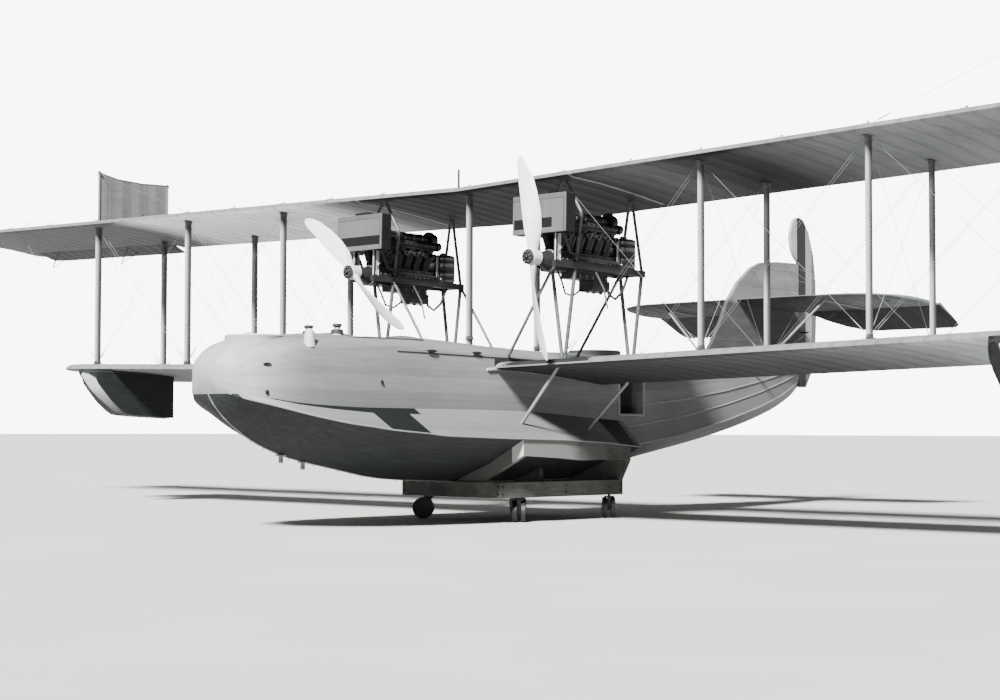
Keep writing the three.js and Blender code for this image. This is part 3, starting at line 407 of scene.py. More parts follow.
def planked_hull_enamel(paint, bottom_paint, band_paint, plank):
    """Enamel brushed over cedar planks on the sides, and thick dark paint on the bottom.

    The eye sees a pale satin side with fore-and-aft seams that follow the sheer, some planks a
    little darker than others, grime above the fins, and a matt bottom below a sharp line."""
    material, tree, surface, place = start(
        "brushed_enamel_on_planking", 0.5, **{"Specular IOR Level": 0.12})
    parts, facing, aft, out = sited(tree, place)
    first, last = HULL_LINES[0][0], HULL_LINES[-1][0]
    share = add(tree, "MapRange", (aft, first, last))

    def line(column):
        tall = 4.0
        curve = add(tree, "FloatCurve", {"Value": share}, points=[
            ((row[0] - first) / (last - first), row[column] / tall) for row in HULL_LINES])
        return add(tree, "Math MULTIPLY", (curve, tall))

    fin_x, fin_z, edge_z = line(3), line(4), line(6)
    # Seams: seven planks between the fin and the deck edge, and planks of one width elsewhere
    rise = add(tree, "Math SUBTRACT", (parts["Z"], fin_z))
    height = add(tree, "Math SUBTRACT", (edge_z, fin_z))
    side_planks = add(tree, "Math MULTIPLY", (add(tree, "Math DIVIDE", (rise, height)), 7.0))
    flat_planks = add(tree, "Math DIVIDE", (out, plank))
    level = add(tree, "Math ABSOLUTE", (facing["Z"],))
    is_flat = add(tree, "Math GREATER_THAN", (level, 0.35))
    planks = add(tree, "Mix", {0: is_flat, 2: side_planks, 3: flat_planks})
    near_seam = add(tree, "Math PINGPONG", (planks, 0.5))
    # A real seam is 2 mm wide. It is drawn 6 mm wide so that it shows from thirty metres
    seam = add(tree, "MapRange", (near_seam, 0.0, 0.055, 1.0, 0.0))
    # Filler and paint hide the seams of the bow and the deck
    shown = add(tree, "Math MULTIPLY", (add(tree, "MapRange", (aft, -4.3, -3.2)),
                                        add(tree, "Math LESS_THAN", (facing["Z"], 0.5))))
    seam = add(tree, "Math MULTIPLY", (seam, shown))
    odd = add(tree, "TexWhiteNoise", {"W": add(tree, "Math FLOOR", (planks,))},
              noise_dimensions="1D")
    # Wear: long streaks along the planks and large soft stains
    streaks = drawn_out(tree, place, (6, 0.5, 6), 3.0, 6.0)
    stains = add(tree, "TexNoise", {"Vector": place, "Scale": 0.9, "Detail": 4.0})
    grime = add(tree, "Math MULTIPLY", (add(tree, "MapRange", (rise, 0.0, 0.42, 1.0, 0.0)),
                                        streaks))
    tone = add(tree, "Math MULTIPLY_ADD", (odd, 0.35, add(tree, "Math ADD", (streaks, stains))))
    side = shaded(tree, add(tree, "Math MULTIPLY", (tone, 0.5)), paint, 0.22, (0.35, 0.58, 0.8))
    # A painted highlight: the bow's side is painted lighter, where light falls on it
    painted_bow_light = add(tree, "MapRange", (aft, -4.9, -3.9, 1.9, 1.0), interpolation_type="SMOOTHSTEP")
    side = add(tree, "VectorMath SCALE", {0: side, 3: painted_bow_light})
    below = shaded(tree, streaks, bottom_paint, 0.3, (0.3, 0.5, 0.7))
    # The bottom paint ends at the chine, the stem line and the step
    down = add(tree, "Math LESS_THAN", (facing["Z"], -0.08))
    under = add(tree, "Math LESS_THAN", (parts["Z"], 1.93))
    ahead = add(tree, "Math LESS_THAN", (aft, STEP_Y + 0.02))
    wet = add(tree, "Math MULTIPLY", (add(tree, "Math MULTIPLY", (down, under)), ahead))
    # Dark bands over the fins, and a strip beside the hull that widens aft to the first band
    on_fin = add(tree, "Math MULTIPLY", (add(tree, "Math GREATER_THAN", (facing["Z"], 0.3)),
                                         add(tree, "Math LESS_THAN", (parts["Z"], 1.9))))
    bands = add(tree, "Math ADD", (add(tree, "Math COMPARE", (aft, -2.585, 0.355)),
                                   add(tree, "Math COMPARE", (aft, 2.375, 0.265))))
    beside = add(tree, "Math SUBTRACT", (out, fin_x))
    widening = add(tree, "MapRange", (aft, -4.9, -2.9, 0.0, 0.14))
    strip = add(tree, "Math MULTIPLY", (add(tree, "Math LESS_THAN", (beside, widening)),
                                        add(tree, "Math LESS_THAN", (aft, -2.0))))
    banded = add(tree, "Math MULTIPLY", (add(tree, "Math MAXIMUM", (bands, strip)), on_fin))
    relief = add(tree, "Math MULTIPLY_ADD",
                 (seam, -1.0, add(tree, "Math MULTIPLY", (streaks, 0.25))))
    gloss = add(tree, "Mix", {0: wet, 2: 0.5, 3: 0.7})
    link(tree, surface, {
        "Base Color": painted_over(
            tree, side, (add(tree, "Math MULTIPLY", (grime, 0.5)), shades(paint, 0.5)[0]),
            (wet, below), (banded, tuple(band_paint)),
            (add(tree, "Math MULTIPLY", (seam, 0.2)), srgb("3b3c3c"))),
        "Normal": add(tree, "Bump", {"Height": relief, "Strength": 0.4, "Distance": 0.002}),
        "Roughness": add(tree, "Mix", {0: banded, 2: gloss, 3: 0.35})})
    return material


def doped_linen(name, colour, rib, under=None, axis="X", sag=0.006, rib_shadow=0.16,
                patches=None, turn=-0.45):
    """Linen sewn over ribs and shrunk with dope, then brushed with pigmented dope.

    The eye sees a satin skin that sags a little between ribs, with painted shadows of the ribs
    as darker lines, and faint brush marks along the chord. The underside may be a darker colour,
    a painted shade, where the skin faces down more than turn, and patches are tones of painted
    light that lift it along the span. columns: x, tone"""
    material, tree, surface, place = start(
        name, 0.7, **{"Sheen Weight": 0.02, "Specular IOR Level": 0.15})
    parts, facing, _, _ = sited(tree, place)
    from_rib = add(tree, "Math PINGPONG", (add(tree, "Math DIVIDE", (parts[axis], rib)), 0.5))
    hollow = add(tree, "MapRange", (from_rib, 0.0, 0.5, 1.0, 0.0),
                 interpolation_type="SMOOTHSTEP")
    on_rib = add(tree, "MapRange", (from_rib, 0.06, 0.2, 1.0, 0.0))
    marks = drawn_out(tree, place, (5, 0.6, 2), 4.0, 6.0)
    stains = add(tree, "TexNoise", {"Vector": place, "Scale": 0.7, "Detail": 3.0})
    # Threads are 0.4 mm apart. The weave is drawn at 6 mm so that it shows at all
    weave = add(tree, "TexVoronoi", {"Vector": place, "Scale": 170.0})
    tone, edges = halfway(tree, marks, stains), (0.36, 0.5, 0.66)
    painted = shaded(tree, tone, colour, 0.2, edges)
    if under is not None:
        # The darker underside is painted shade, and the patches lift it with painted light
        dope = shaded(tree, tone, under, 0.25, edges)
        if patches:
            reach = max(abs(x) for x, _ in patches)
            share = add(tree, "MapRange", (parts["X"], -reach, reach))
            painted_lift = add(tree, "FloatCurve", {"Value": share}, points=[
                ((x + reach) / reach / 2, lift / STRONGEST) for x, lift in patches])
            dope = add(tree, "VectorMath SCALE", {
                0: dope, 3: add(tree, "Math MULTIPLY", (painted_lift, STRONGEST))})
        below = add(tree, "Math LESS_THAN", (facing["Z"], turn))
        painted = painted_over(tree, painted, (below, dope))
    # Painted shadows of the ribs: darker lines, as if the ribs were seen through the linen
    ribs = add(tree, "Math MULTIPLY_ADD", (on_rib, -rib_shadow, 1.0))
    threads = add(tree, "Bump", {"Height": weave, "Strength": 0.15, "Distance": 0.0008})
    link(tree, surface, {
        "Base Color": add(tree, "VectorMath SCALE", {0: painted, 3: ribs}),
        "Normal": add(tree, "Bump", {"Height": hollow, "Strength": 0.9, "Distance": sag,
                                     "Normal": threads})})
    return material


def painted_spruce(colour, flank_shade):
    """Planed spruce under thin enamel: the eye sees long fine grain through a satin coat.

    The noses of the struts keep the pale enamel, and the flanks behind them are painted darker, a
    painted shade."""
    material, tree, surface, place = start("enamelled_spruce_strut", 0.5, **{"Coat Weight": 0.04})
    parts, _, aft, out = sited(tree, place)
    grain = drawn_out(tree, place, (9, 9, 0.4), 8.0, 5.0)
    nose = shaded(tree, grain, colour, 0.16, (0.35, 0.65))
    side = shaded(tree, grain, flank_shade, 0.25, (0.35, 0.65))
    # Behind each strut's nose the flank colour lies: painted shade
    rear = add(tree, "Math GREATER_THAN", (aft, REAR_SPAR / 2))
    behind = add(tree, "Math MULTIPLY_ADD", (rear, -REAR_SPAR, aft))
    sooty = add(tree, "MapRange", (behind, -0.05, 0.0))
    # The last foot below the upper wing is painted darker still, a painted shadow of the wing
    level = add(tree, "Math MULTIPLY_ADD", (out, -WING_RISE, parts["Z"]))
    level = add(tree, "Math MULTIPLY_ADD", (aft, math.tan(UPPER_TILT), level))
    painted_wing_shadow = add(tree, "MapRange", (level, UPPER_Z - 0.42, UPPER_Z - 0.16, 1.0, 0.22),
                interpolation_type="SMOOTHSTEP")
    shown = painted_over(tree, nose, (sooty, side))
    link(tree, surface, {
        "Base Color": add(tree, "VectorMath SCALE", {0: shown, 3: painted_wing_shadow}),
        "Normal": add(tree, "Bump", {"Height": grain, "Strength": 0.5, "Distance": 0.0012})})
    return material


def mount_enamel(colour, dark):
    """Enamel on the engine mounts: the eye sees satin grey legs, and bearers black with oil."""
    material, tree, surface, place = start("oil_stained_mount_enamel", 0.5, 0.1)
    parts = add(tree, "SeparateXYZ", (place,)).outputs
    # The bearers lie along the thrust line, so their height falls with the length
    level = add(tree, "Math MULTIPLY_ADD", (parts["Y"], math.tan(THRUST_TILT), parts["Z"]))
    middle = THRUST_Z - 0.08 + SPAR_Y * math.tan(THRUST_TILT)
    oily = add(tree, "Math COMPARE", (level, middle, 0.09))
    marks = add(tree, "TexNoise", {"Vector": place, "Scale": 14.0, "Detail": 4.0})
    coat = shaded(tree, marks, colour, 0.2, (0.35, 0.65))
    link(tree, surface, {
        "Base Color": painted_over(tree, coat, (oily, dark)),
        "Normal": add(tree, "Bump", {"Height": marks, "Strength": 0.3, "Distance": 0.001})})
    return material


def float_enamel(colour, bare):
    """Slate enamel on plywood: the eye sees a dark satin skin, and a pale scrubbed port bow."""
    material, tree, surface, place = start(
        "slate_enamel_on_plywood", 0.6, **{"Specular IOR Level": 0.15})
    _, facing, aft, _ = sited(tree, place)
    marks = drawn_out(tree, place, (3, 0.7, 3), 5.0, 5.0)
    coat = shaded(tree, marks, colour, 0.2, (0.35, 0.65))
    forward = add(tree, "MapRange", (aft, -0.55, 0.05, 1.0, 0.0))
    port_bottom = add(tree, "Math MULTIPLY", (add(tree, "Math GREATER_THAN", (facing["X"], 0.04)),
                                              add(tree, "Math LESS_THAN", (facing["Z"], -0.2))))
    worn = add(tree, "Math MULTIPLY", (port_bottom, forward))
    link(tree, surface, {
        "Base Color": painted_over(tree, coat, (worn, bare)),
        "Normal": add(tree, "Bump", {"Height": marks, "Strength": 0.4, "Distance": 0.001})})
    return material


def creosoted_timber(colour, pale, scuffed):
    """Sawn pine soaked in creosote: the eye sees rough long grain, splits and dry pale edges.

    The rails under the hull are limewashed forward and scuffed grey farther aft, and so is the
    front chock, which is palest where it meets the rails. The limewash is whiter on faces that look
    forward, a painted highlight."""
    material, tree, surface, place = start(
        "creosoted_pine_beam", 0.9, **{"Specular IOR Level": 0.25})
    parts, facing, aft, out = sited(tree, place)
    grain = drawn_out(tree, place, (14, 0.7, 14), 3.0, 8.0, 0.65)
    patches = add(tree, "TexNoise", {"Vector": place, "Scale": 2.3, "Detail": 4.0})
    wood = shaded(tree, halfway(tree, grain, patches), colour, 0.55, (0.34, 0.5, 0.68))
    wash = add(tree, "MapRange", (aft, 0.85, 1.05, 1.0, 0.0))
    scuff = add(tree, "MapRange", (aft, 1.6, 1.8, 1.0, 0.0))
    rail = add(tree, "Math GREATER_THAN", (out, 1.26))
    chock = add(tree, "Math MULTIPLY", (add(tree, "Math GREATER_THAN", (parts["Z"], 0.635)),
                                        add(tree, "Math LESS_THAN", (aft, -0.2))))
    grey = add(tree, "Math MAXIMUM", (add(tree, "Math MULTIPLY", (rail, scuff)), chock))
    # Painted highlight: faces that look forward get the full limewash, the others a little
    forward = add(tree, "Math LESS_THAN", (facing["Y"], -0.5))
    forward = add(tree, "Math MULTIPLY_ADD", (forward, 0.83, 0.17))
    limewash_and_highlight = add(tree, "Math MULTIPLY", (add(tree, "Math MULTIPLY", (rail, wash)), forward))
    link(tree, surface, {
        "Base Color": painted_over(tree, wood, (grey, scuffed), (limewash_and_highlight, pale)),
        "Normal": add(tree, "Bump", {"Height": grain, "Strength": 0.7, "Distance": 0.004})})
    return material


def striped_rudder_enamel(colours, edges):
    """Dope in upright bands on the rudder: dark beside the post, then white, then mid grey."""
    material, tree, surface, place = start("striped_rudder_dope", 0.48)
    parts, _, aft, _ = sited(tree, place)
    marks = drawn_out(tree, place, (1, 6, 0.6), 4.0, 6.0)
    shown = painted_over(tree, tuple(colours[0]), *(
        (add(tree, "Math GREATER_THAN", (aft, edge)), tuple(colour))
        for colour, edge in zip(colours[1:], edges)))
    wear = add(tree, "MapRange", (marks, 0.35, 0.7, 0.84, 1.05))
    ribs = add(tree, "Math PINGPONG", (add(tree, "Math DIVIDE", (parts["Z"], 0.3)), 0.5))
    link(tree, surface, {
        "Base Color": add(tree, "VectorMath SCALE", {0: shown, 3: wear}),
        "Normal": add(tree, "Bump", {"Height": ribs, "Strength": 0.6, "Distance": 0.008})})
    return material


def radiator_core():
    """Soldered brass tube honeycomb, blackened: the eye sees a dull dark grid of small cells."""
    material, tree, surface, place = start(
        "blackened_brass_honeycomb", 0.9, **{"Specular IOR Level": 0.1})
    # Real cells are 7 mm across. They are drawn 20 mm across so that they show
    cells = add(tree, "TexVoronoi", {"Vector": place, "Scale": 50.0, "Randomness": 0.0},
                feature="DISTANCE_TO_EDGE")
    link(tree, surface, {
        "Base Color": add(tree, "ValToRGB", (cells,), stops=(
            (0.0, srgb("1a1917")), (0.12, srgb("0e0d0d")), (0.3, srgb("050505")))),
        "Normal": add(tree, "Bump", {"Height": cells, "Strength": 0.9, "Distance": 0.01},
                      invert=True)})
    return material


def trowelled_concrete(colour):
    """Smooth trowelled concrete: the eye sees a plain pale matt floor with faint clouds."""
    material, tree, surface, place = start("trowelled_concrete", 0.85)
    clouds = add(tree, "TexNoise", {"Vector": place, "Scale": 0.35, "Detail": 6.0})
    link(tree, surface, {"Base Color": shaded(tree, clouds, colour, 0.05, (0.35, 0.65))})
    return material


MADE = {}


def finish(name):
    """One of the shared finishes, made when it is first asked for."""
    if name not in MADE:
        MADE[name] = FINISHES[name]()
    return MADE[name]


FINISHES = {
    "tar": lambda: worn_coat("tarred_canvas", srgb("191a1a"), 0.7, 0.0, 0.3, fine=90.0,
                             shine=0.2),
    # Iron with its skin of oil and soot, for bolts, brackets and hubs
    "black_iron": lambda: worn_coat("oiled_wrought_iron", srgb("2b2b2b"), 0.5, 0.75, 0.3),
    # Zinc-dipped steel strand: bright but dulled by salt air
    "wire": lambda: worn_coat("galvanised_steel_strand", srgb("5a5c5c"), 0.55, 0.3, 0.12),
    # Black heat-proof enamel over cast iron and steel, a little oily
    "engine_black": lambda: worn_coat("black_engine_enamel", srgb("1b1b1c"), 0.42, 0.1, 0.35,
                                      fine=70.0, coat=0.05, shine=0.3),
    # Black japanned sheet that has gone dull with soot
    "casing": lambda: worn_coat("sooty_japanned_sheet", srgb("101011"), 0.6, 0.0, 0.3, shine=0.15),
    # Sand-cast aluminium that has gone grey
    "cast_metal": lambda: worn_coat("sand_cast_aluminium", srgb("6b6d6e"), 0.5, 0.85, 0.2,
                                    fine=90.0, bump=0.0015),
    "leather": lambda: worn_coat("oiled_grey_leather", srgb("363534"), 0.6, 0.0, 0.3, patch=9.0,
                                 fine=160.0, bump=0.002),
    "varnish": lambda: worn_coat("varnished_mahogany", srgb("6a4a32"), 0.32, 0.0, 0.25,
                                 stretch=(8, 0.6, 8), coat=0.3),
    "dark_paint": lambda: worn_coat("dark_brushed_enamel", srgb("242627"), 0.5, 0.0, 0.2,
                                    shine=0.3),
    "pale_paint": lambda: worn_coat("pale_brushed_enamel", srgb("9a9c9b"), 0.45, 0.0, 0.12),
    "dull_paint": lambda: worn_coat("sooty_enamel_on_brass", srgb("3c3e3e"), 0.6, 0.1, 0.2),
    "mid_paint": lambda: worn_coat("grey_brushed_enamel", srgb("666868"), 0.5, 0.0, 0.15),
    # Tinned steel sheet under stoved black lacquer, the glossiest thing on the engines
    "tank": lambda: worn_coat("black_japanned_tinplate", srgb("2c2d2e"), 0.26, 0.35, 0.25,
                              coat=0.4),
    "core": radiator_core,
    "panel_linen": lambda: doped_linen("doped_linen_on_posts", srgb("5a5c5b"), 0.4, None, "Y",
                                       0.01, 0.1),
}


# Settings


def paint(name, description, shade):
    return FloatVectorProperty(name=name, description=description, subtype="COLOR", size=4,
                               default=srgb(shade))


def length(name, description, metres):
    return FloatProperty(name=name, description=description, unit="LENGTH", default=metres)


class FlyingBoatHull(bpy.types.PropertyGroup):
    side_paint: paint("Side paint", "Enamel above the chines", "5c5e5d")
    bottom_paint: paint("Bottom paint", "Paint below the chines", "222425")
    band_paint: paint("Band paint", "Dark bands over the side fins", "0d0e0f")
    plank: length("Plank width", "Width of the bottom planks", 0.105)
    moulding: length("Moulding radius", "Radius of the half-round mouldings", 0.012)


class FlyingBoatWings(bpy.types.PropertyGroup):
    fabric: paint("Upper dope", "Dope on top of the wings", "5a5b5a")
    # The under dope is darker than the upper, a painted shade on the undersides
    under: paint("Under dope", "Dope underneath the wings", "383a3a")
    rib: length("Rib spacing", "Distance between ribs along the span", 0.352)
    tape: length("Tape width", "Width of the tape sewn over each rib", 0.036)


class FlyingBoatRigging(bpy.types.PropertyGroup):
    wire: length("Wire diameter", "Diameter of the bracing wires", 0.006)
    buckle: length("Turnbuckle length", "Length of each turnbuckle", 0.26)


class FlyingBoatEngines(bpy.types.PropertyGroup):
    propeller_paint: paint("Propeller paint", "Enamel of the blades", "b3b3b0")
    shutter_paint: paint("Shutter paint", "Paint of the shutters", "4a4c4b")


class FlyingBoatTail(bpy.types.PropertyGroup):
    fore_stripe: paint("Fore stripe", "Rudder stripe at the post", "17191a")
    mid_stripe: paint("Middle stripe", "Middle stripe of the rudder", "7b7c7a")
    aft_stripe: paint("Aft stripe", "Rudder stripe at the tail", "4e504f")


class FlyingBoatTruck(bpy.types.PropertyGroup):
    timber: paint("Timber", "Creosoted timber of the truck", "434341")


class FlyingBoatStage(bpy.types.PropertyGroup):
    floor: paint("Floor", "Plain floor", "9d9d9a")
    key: FloatProperty(name="Key light", description="Strength of the key light", default=27.0)
    fill: FloatProperty(name="Fill light", description="Strength of the light all round",
                        default=0.3)
    backdrop: FloatProperty(name="Backdrop", description="Brightness of the plain backdrop",
                            default=8.5)


GROUPS = {
    "flying_boat_hull": FlyingBoatHull, "flying_boat_wings": FlyingBoatWings,
    "flying_boat_rigging": FlyingBoatRigging, "flying_boat_engines": FlyingBoatEngines,
    "flying_boat_tail": FlyingBoatTail, "flying_boat_truck": FlyingBoatTruck,
    "flying_boat_stage": FlyingBoatStage,
}


# Hull


def hull_side_spots(sign, places):
    """Spots on the hull's side for places of y and z."""
    found = [touch("hull", at(sign * 3, y, z), PORT * -sign) for y, z in places]
    return [spot for spot in found if spot]


def deck_spot(x, y):
    return touch("hull", at(x, y, 4), DOWN)


class FLYINGBOAT_OT_hull(bpy.types.Operator):
    """Paints the hull and fits its mouldings, strakes, hatch frames and deck gear"""

    bl_idname = "flying_boat.hull"
    bl_label = "Hull"

    def execute(self, context):
        sizes = context.scene.flying_boat_hull
        skin = planked_hull_enamel(sizes.side_paint, sizes.bottom_paint, sizes.band_paint,
                                   sizes.plank)
        finish_node("hull", skin)
        for side, sign in SIDES:
            self.mouldings(side, sign, sizes.moulding)
            self.fittings(side, sign)
        self.keel()
        self.deck()
        return {"FINISHED"}

    def mouldings(self, side, sign, radius):
        edge = Shape()
        rows = spaced(-2.35, 8.8, 60)
        edge.tube([spot for spot, _ in hull_side_spots(
            sign, [(y, hull_line(y, 6) - 0.004) for y in rows])], radius * 0.8, 6)
        edge.make(f"deck_edge_moulding_{side}", "boat", "hull_paint", finish("dark_paint"))
        rail = Shape()
        rail.tube([at(sign * hull_line(y, 1), y, hull_line(y, 2)) for y in spaced(-5.1, 2.74, 48)],
                  radius, 6)
        for height in (0.0, 0.34):  # strakes behind the step, as shares of the way up the side
            rows = spaced(2.8, 8.7, 36)
            rail.tube([spot for spot, _ in hull_side_spots(sign, [
                (y, hull_line(y, 4) + (hull_line(y, 6) - hull_line(y, 4)) * height)
                for y in rows])], radius * 1.2, 6)
        rail.tube([at(sign * hull_line(y, 1), y, hull_line(y, 2)) for y in spaced(2.8, 8.7, 36)],
                  radius * 1.3, 6)
        rail.make(f"chine_rail_{side}", "boat", "hull_paint", finish("mid_paint"))

    def fittings(self, side, sign):
        gear = Shape()
        # Cleats on the deck edge, a fairlead and two ring bolts on the bow's side
        for y in (-1.668, -0.7):
            spot, normal = hull_side_spots(sign, [(y, 2.6)])[0]
            gear.tube([spot + normal * 0.035 + AFT * d for d in (-0.1, -0.04, 0.04, 0.1)],
                      [0.01, 0.022, 0.022, 0.01], 8)
            for d in (-0.022, 0.022):
                gear.turned(spot + AFT * d, normal, ((-0.01, 0.016), (0.04, 0.011)), 8)
        spot, normal = hull_side_spots(sign, [(-4.656, 2.34)])[0]
        across = normal.cross(UP).normalized()
        gear.tube(loop(spot + normal * 0.006, across * 0.055, UP * 0.016, 16), 0.009, 8,
                  closed=True)
        gear.turned(spot - normal * 0.01, normal, ((0, 0.018), (0.012, 0.018)), 14)
        for y, z in ((-4.67, 1.955), (-2.651, 2.13)):
            spot, normal = hull_side_spots(sign, [(y, z)])[0]
            gear.turned(spot, normal, ((-0.004, 0.03), (0.006, 0.03), (0.012, 0.012)), 14)
            across = normal.cross(UP).normalized()
            gear.tube(loop(spot + normal * 0.014 - UP * 0.022, UP * 0.022, across * 0.022, 12),
                      0.005, 6, closed=True)
        gear.make(f"side_fittings_{side}", "boat", "hull_paint", finish("black_iron"))
        frames = Shape()
        # Frame round the side hatch, with its hinge strip and turn buttons
        corners = [(2.68, 1.69), (3.36, 1.69), (3.36, 2.27), (2.68, 2.27)]
        for a, b in zip(corners, corners[1:] + corners[:1]):
            run = [(a[0] + (b[0] - a[0]) * s, a[1] + (b[1] - a[1]) * s) for s in spaced(0, 1, 5)]
            across = UP if a[1] == b[1] else AFT
            frames.strip(hull_side_spots(sign, run), 0.045, 0.014, across)
        frames.make(f"side_hatch_frame_{side}", "boat", "hull_paint", finish("mid_paint"))
        board = Shape()  # dark strip on the hull's side between the wing's root and the deck edge
        board.strip(hull_side_spots(sign, [(y, 2.475) for y in spaced(-0.3, 2.0, 16)]), 0.13,
                    0.008, UP)
        board.make(f"dark_side_strip_{side}", "boat", "hull_paint", finish("tar"))

    def keel(self):
        shoe = Shape()
        rows = [(-5.16, 1.985), (-5.05, 1.80), (-4.85, 1.60), (-4.53, 1.375)]
        below = [touch("hull", at(0, y, -1), UP)[0] for y in spaced(-4.45, 2.7, 40)]
        stem = [touch("hull", at(0, y - 2, z), AFT)[0] for y, z in rows]
        shoe.tube(stem + below, 0.014, 6, flat=0.7)
        for y in spaced(-4.4, 2.4, 30):
            spot, _ = touch("hull", at(0, y, -1), UP)
            shoe.bolt(spot - UP * 0.02, DOWN, 0.008)
        # Lugs for the slipway gear under the forefoot
        for y in (-3.84, -3.43):
            spot, _ = touch("hull", at(0, y, -1), UP)
            shoe.box(spot - UP * 0.05, (0.05, 0.06, 0.13), edge=0.008)
            shoe.box(spot - UP * 0.005, (0.09, 0.12, 0.02))
            shoe.turned(spot - UP * 0.085 - PORT * 0.04, PORT,
                        ((0, 0.014), (0.08, 0.014)), 10)
        shoe.make("keel_shoe", "boat", "hull_paint", finish("mid_paint"))

    def deck(self):
        gear = Shape()
        for x in (-0.144, 0.144):  # walkway battens along the crown
            for first, last in ((-3.7, -3.05), (-1.5, -0.2), (0.3, 2.4), (3.6, 5.9)):
                gear.strip([deck_spot(x, y) for y in spaced(first, last, 10)], 0.03, 0.012, PORT)
        for y in (-1.45, -0.95, 0.4, 0.9, 1.4, 3.75, 4.3, 4.85):
            spots = [deck_spot(x, y) for x in spaced(-0.42, 0.42, 9)]
            gear.strip(spots, 0.035, 0.01, AFT)
        gear.make("deck_battens", "boat", "hull_paint", finish("mid_paint"))
        cowls = Shape()
        # Bell-shaped vents on the slope of the deck, ahead of the wind screens
        for x in (0.7, -0.7):
            spot, _ = deck_spot(x, -3.91)
            cowls.turned(spot - UP * 0.06, UP, ((0, 0.09), (0.06, 0.084), (0.12, 0.076),
                                                (0.2, 0.066), (0.25, 0.05), (0.262, 0.02)), 20)
        cowls.make("deck_vents", "boat", "hull_paint", finish("pale_paint"))


class FLYINGBOAT_OT_cockpits(bpy.types.Operator):
    """Fits the cockpits' padded rims, seats, controls and wind screens"""

    bl_idname = "flying_boat.cockpits"
    bl_label = "Cockpits"

    def execute(self, context):
        for name, y, radius, top in COCKPITS:
            rim = Shape()
            rim.tube(loop(at(0, y, top - 0.006), PORT * radius, AFT * radius, 48), 0.024, 10,
                     closed=True)
            piece = rim.make(f"{name}_cockpit_rim", "boat", "hull_paint",
                             finish("pale_paint" if name == "bow" else "leather"))
        self.pilots()
        self.screens()
        return {"FINISHED"}

    def pilots(self):
        half, first, last = PILOTS_WELL
        around = [(-half, y) for y in spaced(first, last, 10)]
        around += [(x, last) for x in spaced(-half, half, 10)[1:]]
        around += [(half, y) for y in spaced(last, first, 10)[1:]]
        around += [(x, first) for x in spaced(half, -half, 10)[1:-1]]
        rim, out = Shape(), 0.03
        points = []
        for x, y in around:
            px = x + math.copysign(out, x) if abs(x) == half else x
            py = y + (out if y == last else -out if y == first else 0)
            points.append(deck_spot(px, py)[0] + UP * 0.002)
        rim.tube(points, 0.02, 10, closed=True)
        piece = rim.make("pilots_cockpit_rim", "boat", "hull_paint", finish("leather"))
        for side, sign in SIDES:
            x = 0.3 * sign
            for name, middle, size, turn in (
                    ("seat", at(x, -2.29, 2.095), (0.38, 0.36, 0.09), 0),
                    ("back", at(x, -2.165, 2.32), (0.38, 0.34, 0.08), 82)):
                pad = cushion(middle, size, math.radians(turn))
                pad.make(f"pilots_{name}_cushion_{side}", "boat", "hull_paint",
                                   finish("leather"))
            wheel, radius = Shape(), 0.17
            hub = at(x, -2.62, 2.36)
            back, rise = Vector((0, 0.94, 0.34)), Vector((0, -0.34, 0.94))
            wheel.tube(loop(hub, PORT * radius, rise * radius, 24), 0.013, 8, closed=True)
            for a in (0.5 + math.tau * k / 3 for k in range(3)):
                rim = hub + (PORT * math.cos(a) + rise * math.sin(a)) * radius
                wheel.tube([hub, rim], 0.008, 6)
            wheel.tube([hub - back * 0.02, hub - back * 0.12, at(x, -2.78, 1.76)], 0.018, 8)
            wheel.make(f"control_wheel_{side}", "boat", "hull_paint", finish("varnish"))
        board = Shape()
        board.box(at(0, -2.93, 2.46), (1.06, 0.03, 0.26), edge=0.01)
        for i, x in enumerate(spaced(-0.4, 0.4, 7)):
            board.turned(at(x, -2.915, 2.45 + 0.05 * (i % 2)), (0, 1, 0),
                         ((0, 0.052), (0.02, 0.052), (0.024, 0.044), (0.018, 0.04)), 20, 1)
        board.make("instrument_board", "boat", "hull_paint", finish("varnish"),
                   finish("black_iron"))

    def screens(self):
        pale, dark = finish("pale_paint"), finish("dark_paint")
        for side, sign in SIDES:
            node = f"wind_screen_{side}"
            finish_node(node, pale)
            trim = Shape()
            foot = at(sign * 0.32, -3.062, 0)
            trim.turned(foot + UP * 2.84, UP, ((0, 0.086), (0.004, 0.092), (0.05, 0.09),
                                               (0.06, 0.07), (0.064, 0.05), (0.1, 0.05)), 24)
            trim.turned(foot + UP * 2.94, UP, ((0, 0.062), (0.008, 0.072), (0.03, 0.072),
                                               (0.044, 0.06), (0.049, 0.02)), 24)
            trim.make(f"wind_screen_trim_{side}", "boat", "hull_paint", dark)


def cushion(middle, size, lean):
    """A crowned pad whose sides pull in between its corners, leaning back about X."""
    pad = Shape(Matrix.Translation(middle) @ Matrix.Rotation(lean, 4, "X"))
    steps = 9
    shares = spaced(-1, 1, steps)
    corner = {}
    points, faces = [], []
    for layer in (1, -1):
        for j, v in enumerate(shares):
            for i, u in enumerate(shares):
                pull = 1 - 0.05 * (1 - v * v) * abs(u)
                tuck = 1 - 0.05 * (1 - u * u) * abs(v)
                crown = (1 - u ** 4) ** 0.5 * (1 - v ** 4) ** 0.5
                dimple = 0.12 * math.cos(u * math.pi * 2) * math.cos(v * math.pi * 2)
                if layer == -1 and (i in (0, steps - 1) or j in (0, steps - 1)):
                    corner[(layer, i, j)] = corner[(1, i, j)]
                    continue
                corner[(layer, i, j)] = len(points)
                points.append((u * size[0] / 2 * pull, v * size[1] / 2 * tuck,
                               layer * size[2] / 2 * crown * (1 + dimple)))
        for j in range(steps - 1):
            for i in range(steps - 1):
                faces.append([corner[(layer, a, b)] for a, b in
                              ((i, j), (i + 1, j), (i + 1, j + 1), (i, j + 1))])
    pad.add(points, faces)
    return pad


# Wings


